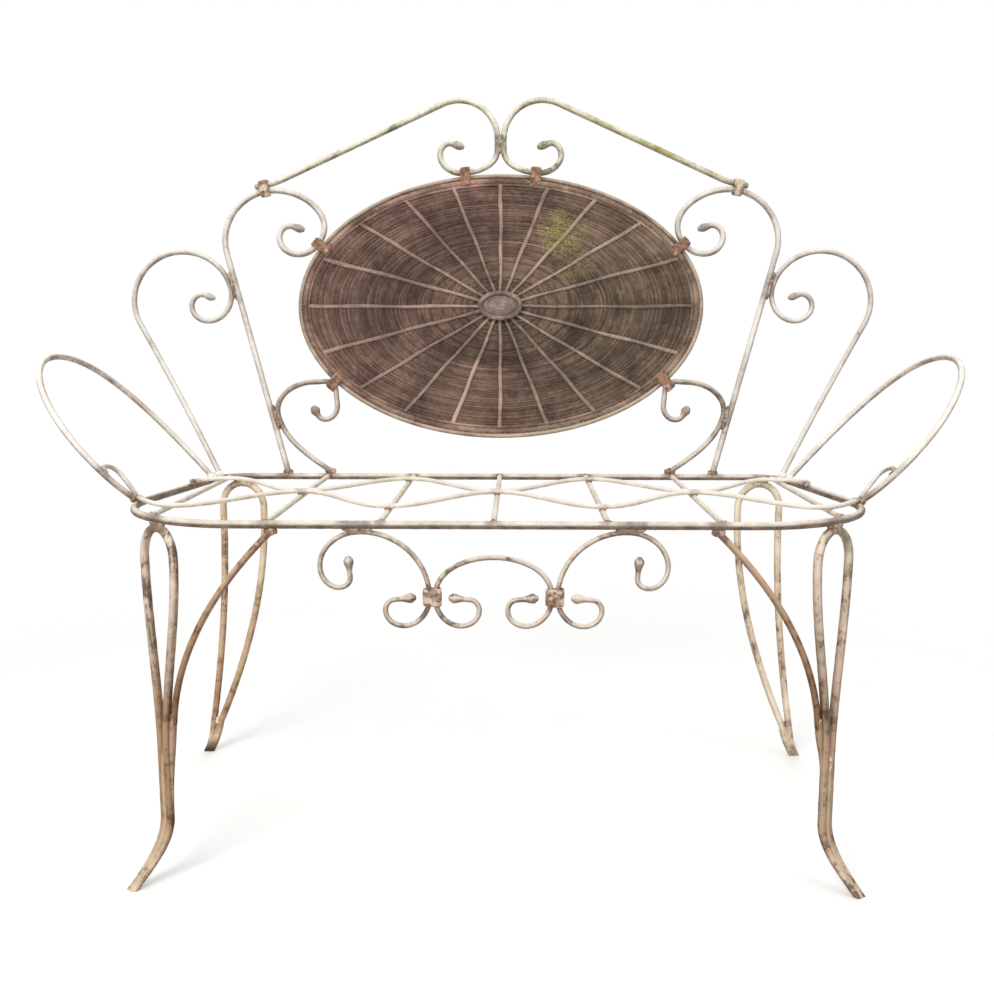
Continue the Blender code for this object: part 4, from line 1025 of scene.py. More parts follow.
def lowerPath():
    s = lowerSettings
    contact = besidePost(s["contact"], -1)
    path = newPath((contact[0] - s["run"], footHeight(bench["scrollBar"], s["slope"]), 0),
                   compass(s["slope"]))
    weld(backStand, lastSpot(path), (1, 0, 0), "lowerFoot", True)
    goOn(path, bench["scrollBar"])
    goBend(path, contact, compass(postWay))
    goBend(path, contact + vec(-s["topIn"], s["topUp"], 0), (-1, 0, 0))
    goBend(path, *ovalSeat(s["angle"], bench["scrollBar"]))
    goCurl(path, *s["neck"])
    goOn(path, s["tail"])
    goCurl(path, *s["curl"])
    goTip(path, ball, bench["scrollBar"])
    darkTip(path)
    touch = contact + compass(postWay - 90) * bench["scrollBar"] / 2
    weldFaces(touch, compass(postWay), "lowerTouch", s["beadOut"], True)
    return path


collarShape = {
    "wall": 0.002, "round": 0.0011, "sides": 56, "bulge": 0.0005, "bulgeSide": 0.6,
    "dents": ((3, 0.02), (7, 0.015)), "skew": 0.0006,       # waves round the band and their share
}


def layCollar(node, stand, along, look="collarRust"):
    # a band: outline with round ends carried round the bars, its cross-section a rounded strip;
    # its room is read from the CAD band, along, across and through
    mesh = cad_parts[node].data
    co = np.empty(len(mesh.vertices) * 3)
    mesh.vertices.foreach_get("co", co)
    own = (co.reshape(-1, 3) - stand["origin"]) @ stand["axes"].T
    along = unitOf(np.array(along, float))
    across = vec(along[1], -along[0], 0)
    low, high = (own @ across).min(), (own @ across).max()
    first, last = (own @ along).min(), (own @ along).max()
    half, wall, bulge = own[:, 2].max(), collarShape["wall"], collarShape["bulge"]
    rng = np.random.default_rng(len(node) + int(own.sum() * 1e4) % 97)
    n = collarShape["sides"]
    t = circle(n)
    # strip's outline: inner face, rounded edge, swollen outer face, rounded edge
    length = last - first
    k = collarShape["round"]
    swollen = wall + bulge * collarShape["bulgeSide"]
    depth = np.array([0, wall - k, wall, swollen, wall + bulge, swollen, wall, wall - k, 0])
    place = np.array([-0.5, -0.5, -0.5 + k / length, -0.25, 0, 0.25, 0.5 - k / length, 0.5, 0.5]) * length
    core = half - wall
    run = (high - low) / 2 - half       # straight part of the outline, from the middle
    out = core + depth[None, :] - bulge
    dent = 1
    for waves, share in collarShape["dents"]:
        dent = dent + share * np.sin(waves * t + rng.uniform(0, 6))[:, None]
    x = np.sign(np.cos(t))[:, None] * run + np.cos(t)[:, None] * out * dent + (low + high) / 2
    z = np.sin(t)[:, None] * out * dent
    y = place[None, :] + collarShape["skew"] * np.sin(2 * t + rng.uniform(0, 6))[:, None] + (first + last) / 2
    spots = x[..., None] * across + y[..., None] * along + z[..., None] * vec(0, 0, 1)
    quads, _ = gridFaces(n, len(depth), True)
    spots = toWorld(stand, spots.reshape(-1, 3))
    makePiece("band_" + node, spots, quads[:, ::-1].tolist(), look, node=node)
    weld(stand, (low + high) / 2 * across + (first + last) / 2 * along, along, "bandStain")


ovalSpots = 720                         # round the iron ring


def makeBack():
    post, lower, crest = postPath(), lowerPath(), crestPath()
    ring = oval(np.linspace(0, 360, ovalSpots + 1)[:-1])[0]
    layBar("oval_ring", wholePath(ring, vec(0, 1, 0)), bench["ringBar"], backStand, "ovalPaint", closed=True)
    layPair("back_post", post, bench["backBar"], backStand, "backPaint")
    layPair("crest_scroll", crest, bench["backBar"], backStand, "crestPaint")
    layPair("side_scroll", sidePath(), bench["scrollBar"], backStand, "backPaint")
    layPair("lower_scroll", lower, bench["scrollBar"], backStand, "lowPaint")
    weld(backStand, post["spots"][0][0], (1, 0, 0), "postFoot", True)
    held = {"top": crestSettings["angle"], "side": postSettings["angle"], "low": lowerSettings["angle"]}
    for sign, side in ((1, "right"), (-1, "left")):
        flip = vec(sign, 1, 1)
        for name, angle in held.items():
            normal = oval(np.float64(angle))[1]
            layCollar(f"oval_collar_{name}_{side}", backStand, vec(normal[1], -normal[0], 0) * flip)
        layCollar(f"crest_collar_{side}", backStand, compass(crestSettings["lapWay"]) * flip, "paleCollar")


makeBack()
print("back:", len(bars), "bars so far")


# woven oval, in the back's plane: z stands out towards the sitter
panelSettings = {"rimBar": 0.008, "rimWrap": 0.0005, "hubWide": 0.030, "hubHigh": 0.019, "hubBar": 0.007,
                 "squash": 0.81}
hoopIn = (bench["ringBar"] + panelSettings["rimBar"]) / 2 + bench["gap"]
weaveIn = hoopIn + panelSettings["rimBar"] / 2


def ovalRound(wide, high):              # length round an oval, from the mean of its squared half axes
    return 2 * np.pi * np.sqrt((wide**2 + high**2) / 2)


def spokeTurn(wide, high, t):           # turn of the spoke pattern at turn t of an oval
    return np.arctan2(np.sin(t) * high, np.cos(t) * wide * panelSettings["squash"])


weaveSettings = {
    "strands": 88, "segments": 200, "sides": 5, "deep": 0.0006, "thick": 0.0013, "overlap": 1.22, "seed": 5,
    "waves": (3, 7, 12, 19, 31), "waveShare": (0.2, 1), "waveSum": 3,   # unevenness round a strand
    "shiftHigh": 5, "shiftWide": 9,     # segments by which height and width lag behind
    "unevenOut": 0.0005, "unevenHigh": 0.00035, "unevenWide": 0.16, "strandHigh": 0.0002,
}


def makeWeave():
    # strand i is an oval between hub and hoop; it goes behind each second spoke and in front of the next,
    # and its neighbour the other way: depth times the cosine of half the spokes' turns, the sign by turns
    s, p = weaveSettings, panelSettings
    rng = np.random.default_rng(s["seed"])
    n, m, k = s["strands"], s["segments"], s["sides"]
    share = (np.arange(n) + 0.5) / n
    stepWide = (bench["ovalWide"] - weaveIn - p["hubWide"]) / n
    stepHigh = (bench["ovalHigh"] - weaveIn - p["hubHigh"]) / n
    wide = (p["hubWide"] + share * stepWide * n)[:, None]
    high = (p["hubHigh"] + share * stepHigh * n)[:, None]
    t = circle(m)[None]
    turn = spokeTurn(wide, high, t)
    flip = np.where(np.arange(n) % 2, 1, -1)[:, None]
    rough = sum(np.sin(q * t + rng.uniform(0, 6.28, (n, 1))) * rng.uniform(*s["waveShare"], (n, 1))
                for q in s["waves"]) / s["waveSum"]
    lift = s["deep"] * flip * np.cos(spokeSettings["count"] / 2 * turn)
    lift = lift + s["unevenHigh"] * np.roll(rough, s["shiftHigh"], 1)
    lift = lift + rng.normal(0, s["strandHigh"], (n, 1))
    normal = unitOf(np.stack([high * np.cos(t), wide * np.sin(t)], -1))
    spacing = np.sqrt((stepWide * np.cos(t)) ** 2 + (stepHigh * np.sin(t)) ** 2)
    width = 0.5 * spacing * (s["overlap"] + s["unevenWide"] * np.roll(rough, s["shiftWide"], 1))
    v = circle(k)[None, None]
    off = (s["unevenOut"] * rough)[..., None] + width[..., None] * np.cos(v)
    x = wide[..., None] * np.cos(t)[..., None] + normal[..., 0][..., None] * off
    y = high[..., None] * np.sin(t)[..., None] + normal[..., 1][..., None] * off
    z = lift[..., None] + s["thick"] * np.sin(v)
    spots = np.stack([x, y + bench["ovalUp"], z], -1).reshape(-1, 3)
    quads, steps = gridFaces(m, k, True)
    quads = (quads[None] + (np.arange(n) * m * k)[:, None, None]).reshape(-1, 4)[:, ::-1]
    u = steps[None, :, ::-1, 0] / m * ovalRound(wide, high)[:, :, None]
    loopUv = np.stack([u, np.broadcast_to(steps[None, :, ::-1, 1] / k, u.shape)], -1).reshape(-1, 2)
    strand = np.repeat(rng.uniform(0, 1, n), m * k)
    makePiece("rush_weave", toWorld(backStand, spots), quads.tolist(), "rushWeave", loopUv, strand,
              "woven_panel")


coreSettings = {"around": 120, "rings": 15, "thick": 0.0006, "flat": 0.3, "pole": 0.004, "strand": 0.3}


# thin lens behind the strands: share of the oval's radius is sin v, depth cos v
def makeCore():
    s = coreSettings
    n, m = s["around"], s["rings"]
    u = circle(n)[:, None]
    v = np.linspace(0, np.pi, m)
    radius = np.maximum(np.sin(v), s["pole"])
    x = (bench["ovalWide"] - weaveIn) * np.cos(u) * radius
    y = bench["ovalUp"] + (bench["ovalHigh"] - weaveIn) * np.sin(u) * radius
    z = np.broadcast_to(s["thick"] * np.sign(np.cos(v)) * np.abs(np.cos(v)) ** s["flat"], x.shape)
    spots = np.stack([x, y, z], -1).reshape(-1, 3)
    i, j = np.meshgrid(np.arange(n), np.arange(m - 1), indexing="ij")
    i2 = (i + 1) % n
    quads = np.stack([i * m + j, i * m + j + 1, i2 * m + j + 1, i2 * m + j], -1).reshape(-1, 4)
    faces = quads.tolist() + [list(range(0, n * m, m)), list(range(n * m - 1, 0, -m))]
    loopUv = np.zeros((len(quads) * 4 + 2 * n, 2))
    strand = np.full(len(spots), s["strand"])
    makePiece("rush_core", toWorld(backStand, spots), faces, "rushWeave", loopUv, strand)


def rayToOval(way, wide, high):
    return 1 / np.sqrt((way[..., 0] / wide) ** 2 + (way[..., 1] / high) ** 2)


spokeSettings = {
    "count": 20, "rings": 60, "sides": 10, "seed": 11,
    "root": 0.0052, "tip": 0.0074, "high": 0.0021, "underside": 0.55, "lift": 0.0023,
    "rootIn": 0.002, "tipIn": 0.0006,   # overlap with the hub, gap to the hoop
    "width": 0.86, "widthWave": 0.08, "widthRate": (9, 30), "widthEach": (0.88, 1.06),
    "bow": 0.0012, "wobble": 0.0005, "wobbleRate": 14, "ripple": 0.00022, "rippleRate": 90,
    "strand": (0.25, 0.85),
}


def makeSpokes():
    # spoke i runs from the hub to the hoop: a low arch across it, a slight swell along it at each strand
    s, p = spokeSettings, panelSettings
    rng = np.random.default_rng(s["seed"])
    n, m, k = s["count"], s["rings"], s["sides"]

    def anyTurn():
        return rng.uniform(0, 6, (n, 1))

    a = circle(n)
    way = unitOf(np.stack([np.cos(a), np.sin(a) * p["squash"]], -1))
    start = rayToOval(way, p["hubWide"] - s["rootIn"], p["hubHigh"] - s["rootIn"])
    end = rayToOval(way, bench["ovalWide"] - weaveIn - s["tipIn"], bench["ovalHigh"] - weaveIn - s["tipIn"])
    t = np.linspace(0, 1, m)[None]
    far = start[:, None] + (end - start)[:, None] * t
    uneven = s["width"] + s["widthWave"] * np.sin(t * rng.uniform(*s["widthRate"], (n, 1)) + anyTurn())
    half = (s["root"] + (s["tip"] - s["root"]) * t) / 2 * uneven
    half = half * rng.uniform(*s["widthEach"], (n, 1))
    bow = s["bow"] * np.sin(t * np.pi) * rng.uniform(-1, 1, (n, 1))
    bow = bow + s["wobble"] * np.sin(t * s["wobbleRate"] + anyTurn())
    v = circle(k)[None, None]
    off = bow[..., None] + half[..., None] * np.cos(v)
    arch = np.where(np.sin(v) > 0, np.sin(v), s["underside"] * np.sin(v))
    z = s["lift"] + s["high"] * arch + (s["ripple"] * np.sin(t * s["rippleRate"] + anyTurn()))[..., None]
    x = way[:, None, None, 0] * far[..., None] - way[:, None, None, 1] * off
    y = way[:, None, None, 1] * far[..., None] + way[:, None, None, 0] * off + bench["ovalUp"]
    spots = np.stack([x, y, z], -1).reshape(-1, 3)
    quads, steps = gridFaces(m, k, False)
    own = (quads[None] + (np.arange(n) * m * k)[:, None, None]).reshape(-1, 4)
    ends = [tubeEnds(i * m * k, m, k) for i in range(n)]
    faces = own.tolist() + [head for head, tail in ends] + [tail for head, tail in ends]
    u = np.broadcast_to(steps[None, :, :, 0] / m * (end - start)[:, None, None], (n,) + steps.shape[:2])
    loopUv = np.stack([u, np.broadcast_to(steps[None, :, :, 1] / k, u.shape)], -1).reshape(-1, 2)
    loopUv = np.vstack([loopUv, np.zeros((2 * n * k, 2))])
    strand = np.repeat(rng.uniform(*s["strand"], n), m * k)
    makePiece("cane_spokes", toWorld(backStand, spots), faces, "caneSpoke", loopUv, strand,
              "panel_spokes")


bindings = {    # wraps of cane round the hoop, depth of the dent between them, rings and sides of the mesh
    "bound_rim": {"wraps": 230, "deep": 0.10, "rings": 1840, "sides": 12, "look": "caneRim"},
    "rim_follower": {"wraps": 170, "deep": 0.16, "rings": 1360, "sides": 8, "look": "caneRim"},
    "middle_wale": {"wraps": 90, "deep": 0.2, "rings": 900, "sides": 8, "look": "caneWale"},
    "hub_roll": {"wraps": 46, "deep": 0.12, "rings": 460, "sides": 12, "look": "caneHub"},
}
dentSharp = 6                           # power that keeps a dent narrow
wrapTint = {"middle": 0.5, "apart": 0.35, "jump": 12.9898}     # each wrap has its own shade


def boundRing(name, wide, high, lift, radius, node=None):
    # a hoop bound with cane: its radius, less a dent along a helix that turns once in each wrap
    s = bindings[name]
    wraps, rings, sides = s["wraps"], s["rings"], s["sides"]
    t, v = circle(rings), circle(sides)
    normal = unitOf(np.stack([high * np.cos(t), wide * np.sin(t)], -1))
    dent = np.abs(np.sin(wraps * t[:, None] / 2 + v[None] / 2)) ** dentSharp
    r = radius * (1 - s["deep"] * dent)
    off = r * np.cos(v)[None]
    x = wide * np.cos(t)[:, None] + normal[:, :1] * off
    y = high * np.sin(t)[:, None] + normal[:, 1:] * off + bench["ovalUp"]
    z = lift + r * np.sin(v)[None]
    spots = np.stack([x, y, z], -1).reshape(-1, 3)
    quads, steps = gridFaces(rings, sides, True)
    u = steps[:, ::-1, 0] / rings * ovalRound(wide, high)
    loopUv = np.stack([u, steps[:, ::-1, 1] / sides], -1).reshape(-1, 2)
    wrap = np.floor((wraps * t[:, None] + v[None]) / (2 * np.pi))
    strand = wrapTint["middle"] + wrapTint["apart"] * np.sin(wrap * wrapTint["jump"])
    makePiece(name, toWorld(backStand, spots), quads[:, ::-1].tolist(), s["look"], loopUv, strand,
              node)


hubSettings = {
    "rings": 48, "sides": 96, "inset": 0.0008, "middle": 0.985, "coils": 5, "ridge": 0.0007,
    "base": 0.0052, "dome": 0.0028, "back": 0.0035, "mapLength": 0.15, "strand": 0.45,
}


# spiral coil inside the hub: a dish, one ridge wound from the edge to the middle
def makeHubCore():
    s, p = hubSettings, panelSettings
    rings, sides = s["rings"], s["sides"]
    t = np.linspace(0, 1, rings)[:, None]
    v = circle(sides)[None]
    share = 1 - t * s["middle"]
    ridge = s["ridge"] * np.abs(np.sin(np.pi * (share * s["coils"] + v / (2 * np.pi))))
    x = (p["hubWide"] - s["inset"]) * share * np.cos(v)
    y = (p["hubHigh"] - s["inset"]) * share * np.sin(v) + bench["ovalUp"]
    z = s["base"] + s["dome"] * (1 - share**2) + ridge
    front = np.stack([x, y, z], -1)
    back = np.stack([x, y, np.full_like(x, s["back"])], -1)[::-1]
    spots = np.concatenate([back, front]).reshape(-1, 3)
    quads, steps = gridFaces(2 * rings, sides, False)
    faces = quads.tolist() + tubeEnds(0, 2 * rings, sides)
    loopUv = np.stack([steps[..., 1] / sides * s["mapLength"], steps[..., 0] / rings], -1).reshape(-1, 2)
    loopUv = np.vstack([loopUv, np.zeros((2 * sides, 2))])
    strand = np.full(len(spots), s["strand"])
    makePiece("hub_core", toWorld(backStand, spots), faces, "caneHub", loopUv, strand)


followerSettings = {"inset": 0.0018, "lift": 0.0022, "radius": 0.0021}
waleSettings = {"wide": 0.158, "high": 0.096, "lift": 0.0010, "radius": 0.0019}
hubStack = (0.002, 0.0022, 0.0006)      # half the plate, a spoke and the play under the hub's roll


def makePanel():
    p, f, w = panelSettings, followerSettings, waleSettings
    makeCore()
    makeWeave()
    makeSpokes()
    wide, high = bench["ovalWide"] - hoopIn, bench["ovalHigh"] - hoopIn
    boundRing("bound_rim", wide, high, 0.0, p["rimBar"] / 2 + p["rimWrap"], "panel_rim")
    wide, high = bench["ovalWide"] - weaveIn - f["inset"], bench["ovalHigh"] - weaveIn - f["inset"]
    boundRing("rim_follower", wide, high, f["lift"], f["radius"])
    boundRing("middle_wale", w["wide"], w["high"], w["lift"], w["radius"])
    boundRing("hub_roll", p["hubWide"], p["hubHigh"], sum(hubStack) + p["hubBar"] / 2, p["hubBar"] / 2,
              "panel_hub")
    makeHubCore()


makePanel()
print("panel woven:", weaveSettings["strands"], "strands")


# arms
armSettings = {
    "lean": 40.0, "footAngle": -4.0, "start": 124.0, "end": -83.0,
    "bulge": 0.030, "bulgeUp": 0.105, "topBack": 0.088, "topUp": 0.238,
}
hookSettings = {"foot": 0.013, "top": 0.062, "bend": 0.018, "beadBack": 0.0025}


def makeArms():
    s, h = armSettings, hookSettings
    front, rear = frontCorner(s["footAngle"]), rearCorner(bench["flare"])
    run = unitOf(rear - front)
    outward = vec(run[1], -run[0], 0)
    tilt = np.radians(s["lean"])
    skew = np.sin(np.radians(bench["flare"] - s["footAngle"])) * np.sin(tilt)
    rise = footHeight(bench["scrollBar"], s["start"]) + bench["scrollBar"] / 2 * skew
    path = newPath((0, rise, 0), compass(s["start"]))
    begin = lastSpot(path)
    goOn(path, bench["scrollBar"])
    goBend(path, (-s["bulge"], s["bulgeUp"], 0), (0, 1, 0))
    goBend(path, (s["topBack"], s["topUp"], 0), (1, 0, 0))
    end = vec(np.linalg.norm(rear - front), footHeight(bench["scrollBar"], s["end"]), 0)
    goBend(path, end - compass(s["end"]) * bench["scrollBar"], compass(s["end"]))
    goOn(path, bench["scrollBar"])
    loop = np.concatenate(path["spots"])
    near = np.argmax(loop[:, 1] > h["top"] - bench["rod"])          # where the hook's tip meets the arm
    slant = unitOf(loop[near + 1] - loop[near])
    tip = loop[near, 0] + ((bench["scrollBar"] + bench["rod"]) / 2 + bench["gap"]) / slant[1]
    foot = front + run * h["foot"]
    bulge = (ringHalfWidth(foot[1]) - foot[0]) * outward[0]
    for side, sign in (("right", 1), ("left", -1)):
        flip = vec(sign, 1, 1)
        up = outward * flip * np.sin(tilt) + vec(0, 0, np.cos(tilt))
        stand = standFrame(front * flip + vec(0, 0, bench["seatHeight"]), (rear - front) * flip, up)
        layBar("arm_" + side, path, bench["scrollBar"], stand, "armPaint")
        hook = newPath((h["foot"], ringSeat + bulge * np.sin(tilt), bulge * np.cos(tilt) * sign), (0, 1, 0))
        hookFoot = lastSpot(hook)
        goOn(hook, bench["rod"])
        goBend(hook, (h["foot"], h["top"] - h["bend"], 0), (0, 1, 0))
        goBend(hook, (h["foot"] - h["bend"], h["top"], 0), (-1, 0, 0))
        goBend(hook, (tip, h["top"] - bench["rod"], 0), (0, -1, 0))
        layBar("arm_hook_" + side, hook, bench["rod"], stand, "armPaint")
        weld(stand, begin, (1, 0, 0), "armFront")
        weld(stand, end, (1, 0, 0), "armRear")
        weld(stand, hookFoot, (1, 0, 0), "hookFoot")
        weld(stand, lastSpot(hook) + vec(-h["beadBack"], 0, 0), (slant[0], slant[1], 0), "hookTip")


makeArms()
print("arms:", len(bars), "bars so far")


# legs
legSettings = {
    "cornerAngle": -52.0, "shoulder": 0.036, "half": 0.029, "pair": 0.285, "splay": 0.007, "knee": 0.366,
    "toeKick": 0.042, "toeAside": 0.016, "toeSlope": 50.0, "taper": 0.7,
    "seamUp": 0.012, "closeDown": 0.008, "closeOut": 0.0026,    # start of the seam, place of the closing bead
}
rearSettings = {
    "angle": 73.0, "rake": 4.5, "half": 0.031, "spread": 0.066, "knee": 0.398,
    "limbWay": -80.0, "joinWay": -66.0, "toeOut": 0.016, "toeSlope": 60.0,
    "closeUp": 0.002, "closeOut": 0.0018,
}
braceSettings = {
    "inset": 0.041, "start": -44.0, "endHeight": 0.205,
    "tailHeight": {"right": 0.150, "left": 0.104}, "tailSwell": 0.4, "tailSunk": 0.62,
    "tailBefore": 0.010, "tailAfter": 0.004, "tailIn": 0.0012,      # where the tail leaves the brace
}
legLooks = {"front": {"right": "legPaint", "left": "legPale"},
            "rear": {"right": "rearLegPaint", "left": "rearLegTan"}}
legTop = -ringSeat - bench["legBar"] / 2


def frontToe(kick):                     # where the toe goes from the knee, and its way into the ground
    s = legSettings
    slope = np.radians(s["toeSlope"])
    level = vec(s["toeAside"], 0, kick * s["toeKick"])
    return level, unitOf(level) * np.cos(slope) - vec(0, np.sin(slope), 0)


def frontLimb(side, kick):              # side by side from the pair down, thinner towards the toe
    s = legSettings
    apart = (bench["legBar"] + bench["gap"]) / 2
    path = newPath((0, legTop, 0), (side, 0, 0))
    goBend(path, (side * s["half"], legTop - s["shoulder"], 0), (0, -1, 0))
    goBend(path, (s["splay"] + side * apart, -s["pair"], 0), (0, -1, 0))
    goTo(path, (s["splay"] + side * apart, -s["knee"], 0))
    level, way = frontToe(kick)
    close = (bench["legBar"] * s["taper"] / np.sqrt(1 - way[0] ** 2) + bench["gap"]) / 2
    goBend(path, level + vec(s["splay"] + side * close, -bench["seatHeight"], 0), way, s["taper"])
    goOn(path, bench["legBar"])
    return path


def rearToe():                          # outer limb from the knee down
    s = rearSettings
    toe = newPath((s["spread"], -s["knee"], 0), compass(s["limbWay"]))
    ground = -bench["seatHeight"] / np.cos(np.radians(s["rake"]))
    goBend(toe, (s["spread"] + s["toeOut"], ground, 0), compass(-s["toeSlope"]), legSettings["taper"])
    goOn(toe, bench["legBar"])
    return np.concatenate(toe["spots"]), np.concatenate(toe["swell"])


def besideToe(spots, swell):            # way and distance from the outer limb to the inner one
    tangent = unitOf(np.gradient(spots, axis=0))
    hand = np.stack([tangent[:, 1], -tangent[:, 0], 0 * tangent[:, 0]], 1)
    return hand * (bench["legBar"] * swell + bench["gap"])[:, None]


def rearLimb(side):                     # the inner limb comes across and runs down beside the outer one
    s = rearSettings
    spots, swell = rearToe()
    if side < 0:
        spots = spots + besideToe(spots, swell)
    path = newPath((0, legTop, 0), (side, 0, 0))
    goBend(path, (side * s["half"], legTop - legSettings["shoulder"], 0), (0, -1, 0))
    goBend(path, spots[0], compass(s["limbWay"] if side > 0 else s["joinWay"]))
    addRun(path, spots[1:], swell[1:])
    return path


# radius in leg bars
seamSettings = {"radius": 0.52, "tailRadius": 0.43, "rise": 0.035, "riseFrom": 0.35, "seed": 71}


def laySeam(name, path, stand, look, onGround=True):    # the groove between two limbs, run full of weld
    s = seamSettings
    spots, swell, along = settle(path, barMesh["step"])
    radius = bench["legBar"] * (s["radius"] if onGround else s["tailRadius"])
    if onGround:                        # it grows out of the groove, and its foot is cut as the limbs' are
        swell = swell * np.interp(along, [0, s["rise"]], [s["riseFrom"], 1])
        spots, swell, along = cutFeet(spots, swell, along, radius, stand)
    out, faces, loopUv = sweepBar(spots, swell, along, radius, False, len(bars) + s["seed"], not onGround)
    out = toWorld(stand, out)
    if onGround:
        out = toGround(out, stand, spots)
    bars.append(makePiece(name, out, faces, look, loopUv))


def frontSeam(kick):
    s = legSettings
    path = newPath((s["splay"], -s["pair"] + s["seamUp"], 0), (0, -1, 0))
    goTo(path, (s["splay"], -s["knee"], 0))
    level, way = frontToe(kick)
    goBend(path, level + vec(s["splay"], -bench["seatHeight"], 0), way, s["taper"])
    goOn(path, bench["legBar"])
    return path


def rearSeam():
    spots, swell = rearToe()
    return wholePath(spots + besideToe(spots, swell) / 2, compass(-rearSettings["toeSlope"]), swell)


# where the inner limb passes a height above the ground, and its way down
def limbAt(legPath, legStand, height):
    spots = np.concatenate(legPath["spots"])
    drop = height - bench["seatHeight"]
    crossing = np.argmax((spots[:-1, 1] - drop) * (spots[1:, 1] - drop) <= 0)
    way = unitOf(spots[crossing + 1] - spots[crossing])
    way = way if way[1] < 0 else -way
    place = spots[crossing] @ legStand["axes"] + legStand["origin"] + vec(0, depthShift, 0)
    return place, way @ legStand["axes"]


def makeBrace(side, flip, legStand, legPath):
    s = braceSettings
    start = vec(frontStraight - s["inset"], 0, 0) * flip + vec(0, 0, bench["seatHeight"])
    limb, limbWay = limbAt(legPath, legStand, s["endHeight"])
    stand = standFrame(start, vec(limb[0] - start[0], limb[1] - start[1], 0), (0, 0, 1))
    endWay = limbWay @ stand["axes"].T
    off = vec(1, 0, 0)
    off = unitOf(off - endWay * (off @ endWay))
    end = (limb - start) @ stand["axes"].T - off * ((bench["legBar"] + bench["scrollBar"]) / 2 + bench["gap"])
    path = newPath((0, -footHeight(bench["scrollBar"], s["start"]), 0), compass(s["start"]))
    weld(stand, lastSpot(path), (1, 0, 0), "braceTop")
    goOn(path, bench["scrollBar"])
    goBend(path, end, endWay)
    layBar("front_brace_" + side, path, bench["scrollBar"], stand, "bracePaint")
    tail = newPath(end - endWay * s["tailBefore"] + off * s["tailIn"], endWay)
    goTo(tail, end + endWay * s["tailAfter"] + off * s["tailIn"])
    low, lowWay = limbAt(legPath, legStand, s["tailHeight"][side])
    apart = (bench["legBar"] + bench["scrollBar"]) / 2 - bench["scrollBar"] * s["tailSunk"]
    goBend(tail, (low - start) @ stand["axes"].T - off * apart, lowWay @ stand["axes"].T, s["tailSwell"])
    laySeam("seam_brace_" + side, tail, stand, "legPaint", False)


def makeLegs():
    corner, tangent = frontCorner(legSettings["cornerAngle"]), compass(legSettings["cornerAngle"] + 90)
    rearStand, rake = rearCorner(rearSettings["angle"]), np.radians(rearSettings["rake"])
    level = vec(0, 0, bench["seatHeight"])
    for side, sign in (("right", 1), ("left", -1)):
        flip = vec(sign, 1, 1)
        stand = standFrame(corner * flip + level, tangent * flip, (0, 0, 1))
        path = joined(frontLimb(-1, sign), frontLimb(1, sign))
        look = legLooks["front"][side]
        layBar("front_leg_" + side, path, bench["legBar"], stand, look, onGround=True)
        weld(stand, (0, -ringSeat, 0), (1, 0, 0), "legTop")
        laySeam("seam_front_leg_" + side, frontSeam(sign), stand, "seamPaint")
        if side == "right":             # only this pair shows a bead where it closes
            s = legSettings
            weld(stand, (s["splay"], -s["pair"] - s["closeDown"], s["closeOut"]), (0, -1, 0), "frontClose")
        makeBrace(side, flip, stand, path)
        stand = standFrame(rearStand * flip + level, (sign, 0, 0), (0, -np.sin(rake), np.cos(rake)))
        path, look, seam = joined(rearLimb(-1), rearLimb(1)), legLooks["rear"][side], rearSeam()
        layBar("rear_leg_" + side, path, bench["legBar"], stand, look, onGround=True)
        weld(stand, (0, -ringSeat, 0), (1, 0, 0), "legTop")
        laySeam("seam_rear_leg_" + side, seam, stand, look)
        place = seam["spots"][0][0] + vec(0, rearSettings["closeUp"], sign * rearSettings["closeOut"])
        weld(stand, place, compass(rearSettings["limbWay"]), "rearClose" + side.capitalize())


makeLegs()
print("legs:", len(bars), "bars so far")


# apron
apronSettings = {
    "top": 0.150, "waist": 0.0695, "drop": 0.083, "archTop": 0.037,
    "outerCurl": (0.058, 0.0085, -275), "lowerCurl": (0.040, 0.0095, 265), "leafLength": 0.015,
    "beadOut": 0.004,
}


def waistCurl(path, side):
    first, last, turn = apronSettings["lowerCurl"]
    goCurl(path, first, last, side * turn)
    goOn(path, apronSettings["leafLength"] / 2)
    goTip(path, leaf, bench["rod"])


def makeApron():
    s = apronSettings
    apart = (bench["rod"] + bench["gap"]) / 2
    top = vec(s["top"], -ringSeat - bench["rod"] / 2, 0)
    outer = newPath(top, (1, 0, 0))
    goCurl(outer, *s["outerCurl"])
    goOn(outer, s["leafLength"] / 2)
    goTip(outer, leaf, bench["rod"])
    inner = newPath(top, (-1, 0, 0))
    goBend(inner, (s["waist"] + apart, -s["drop"], 0), (0, -1, 0))
    waistCurl(inner, 1)
    layPair("apron_scroll", joined(outer, inner), bench["rod"], apronStand, "apronPaint")
    half = newPath((0, -s["archTop"], 0), (1, 0, 0))
    goBend(half, (s["waist"] - apart, -s["drop"], 0), (0, -1, 0))
    waistCurl(half, -1)
    layBar("apron_arch", joined(mirrored(half), half), bench["rod"], apronStand, "apronPaint")
    for side in ("right", "left"):
        layCollar("apron_collar_" + side, apronStand, (0, -1, 0), "paleCollar")
    weld(apronStand, top + vec(s["beadOut"], bench["rod"] / 2, 0), (1, 0, 0), "apronTop", True)


makeApron()
print("apron:", len(bars), "bars in all; widest stray from the solids", max(strays))


# weld beads: a lump drawn out along the joint, its skin pushed about by waves
beadMesh = {"rings": 10, "sides": 10, "seed": 3, "tip": 0.05, "blunt": 0.6, "lump": (0.14, 0.10)}


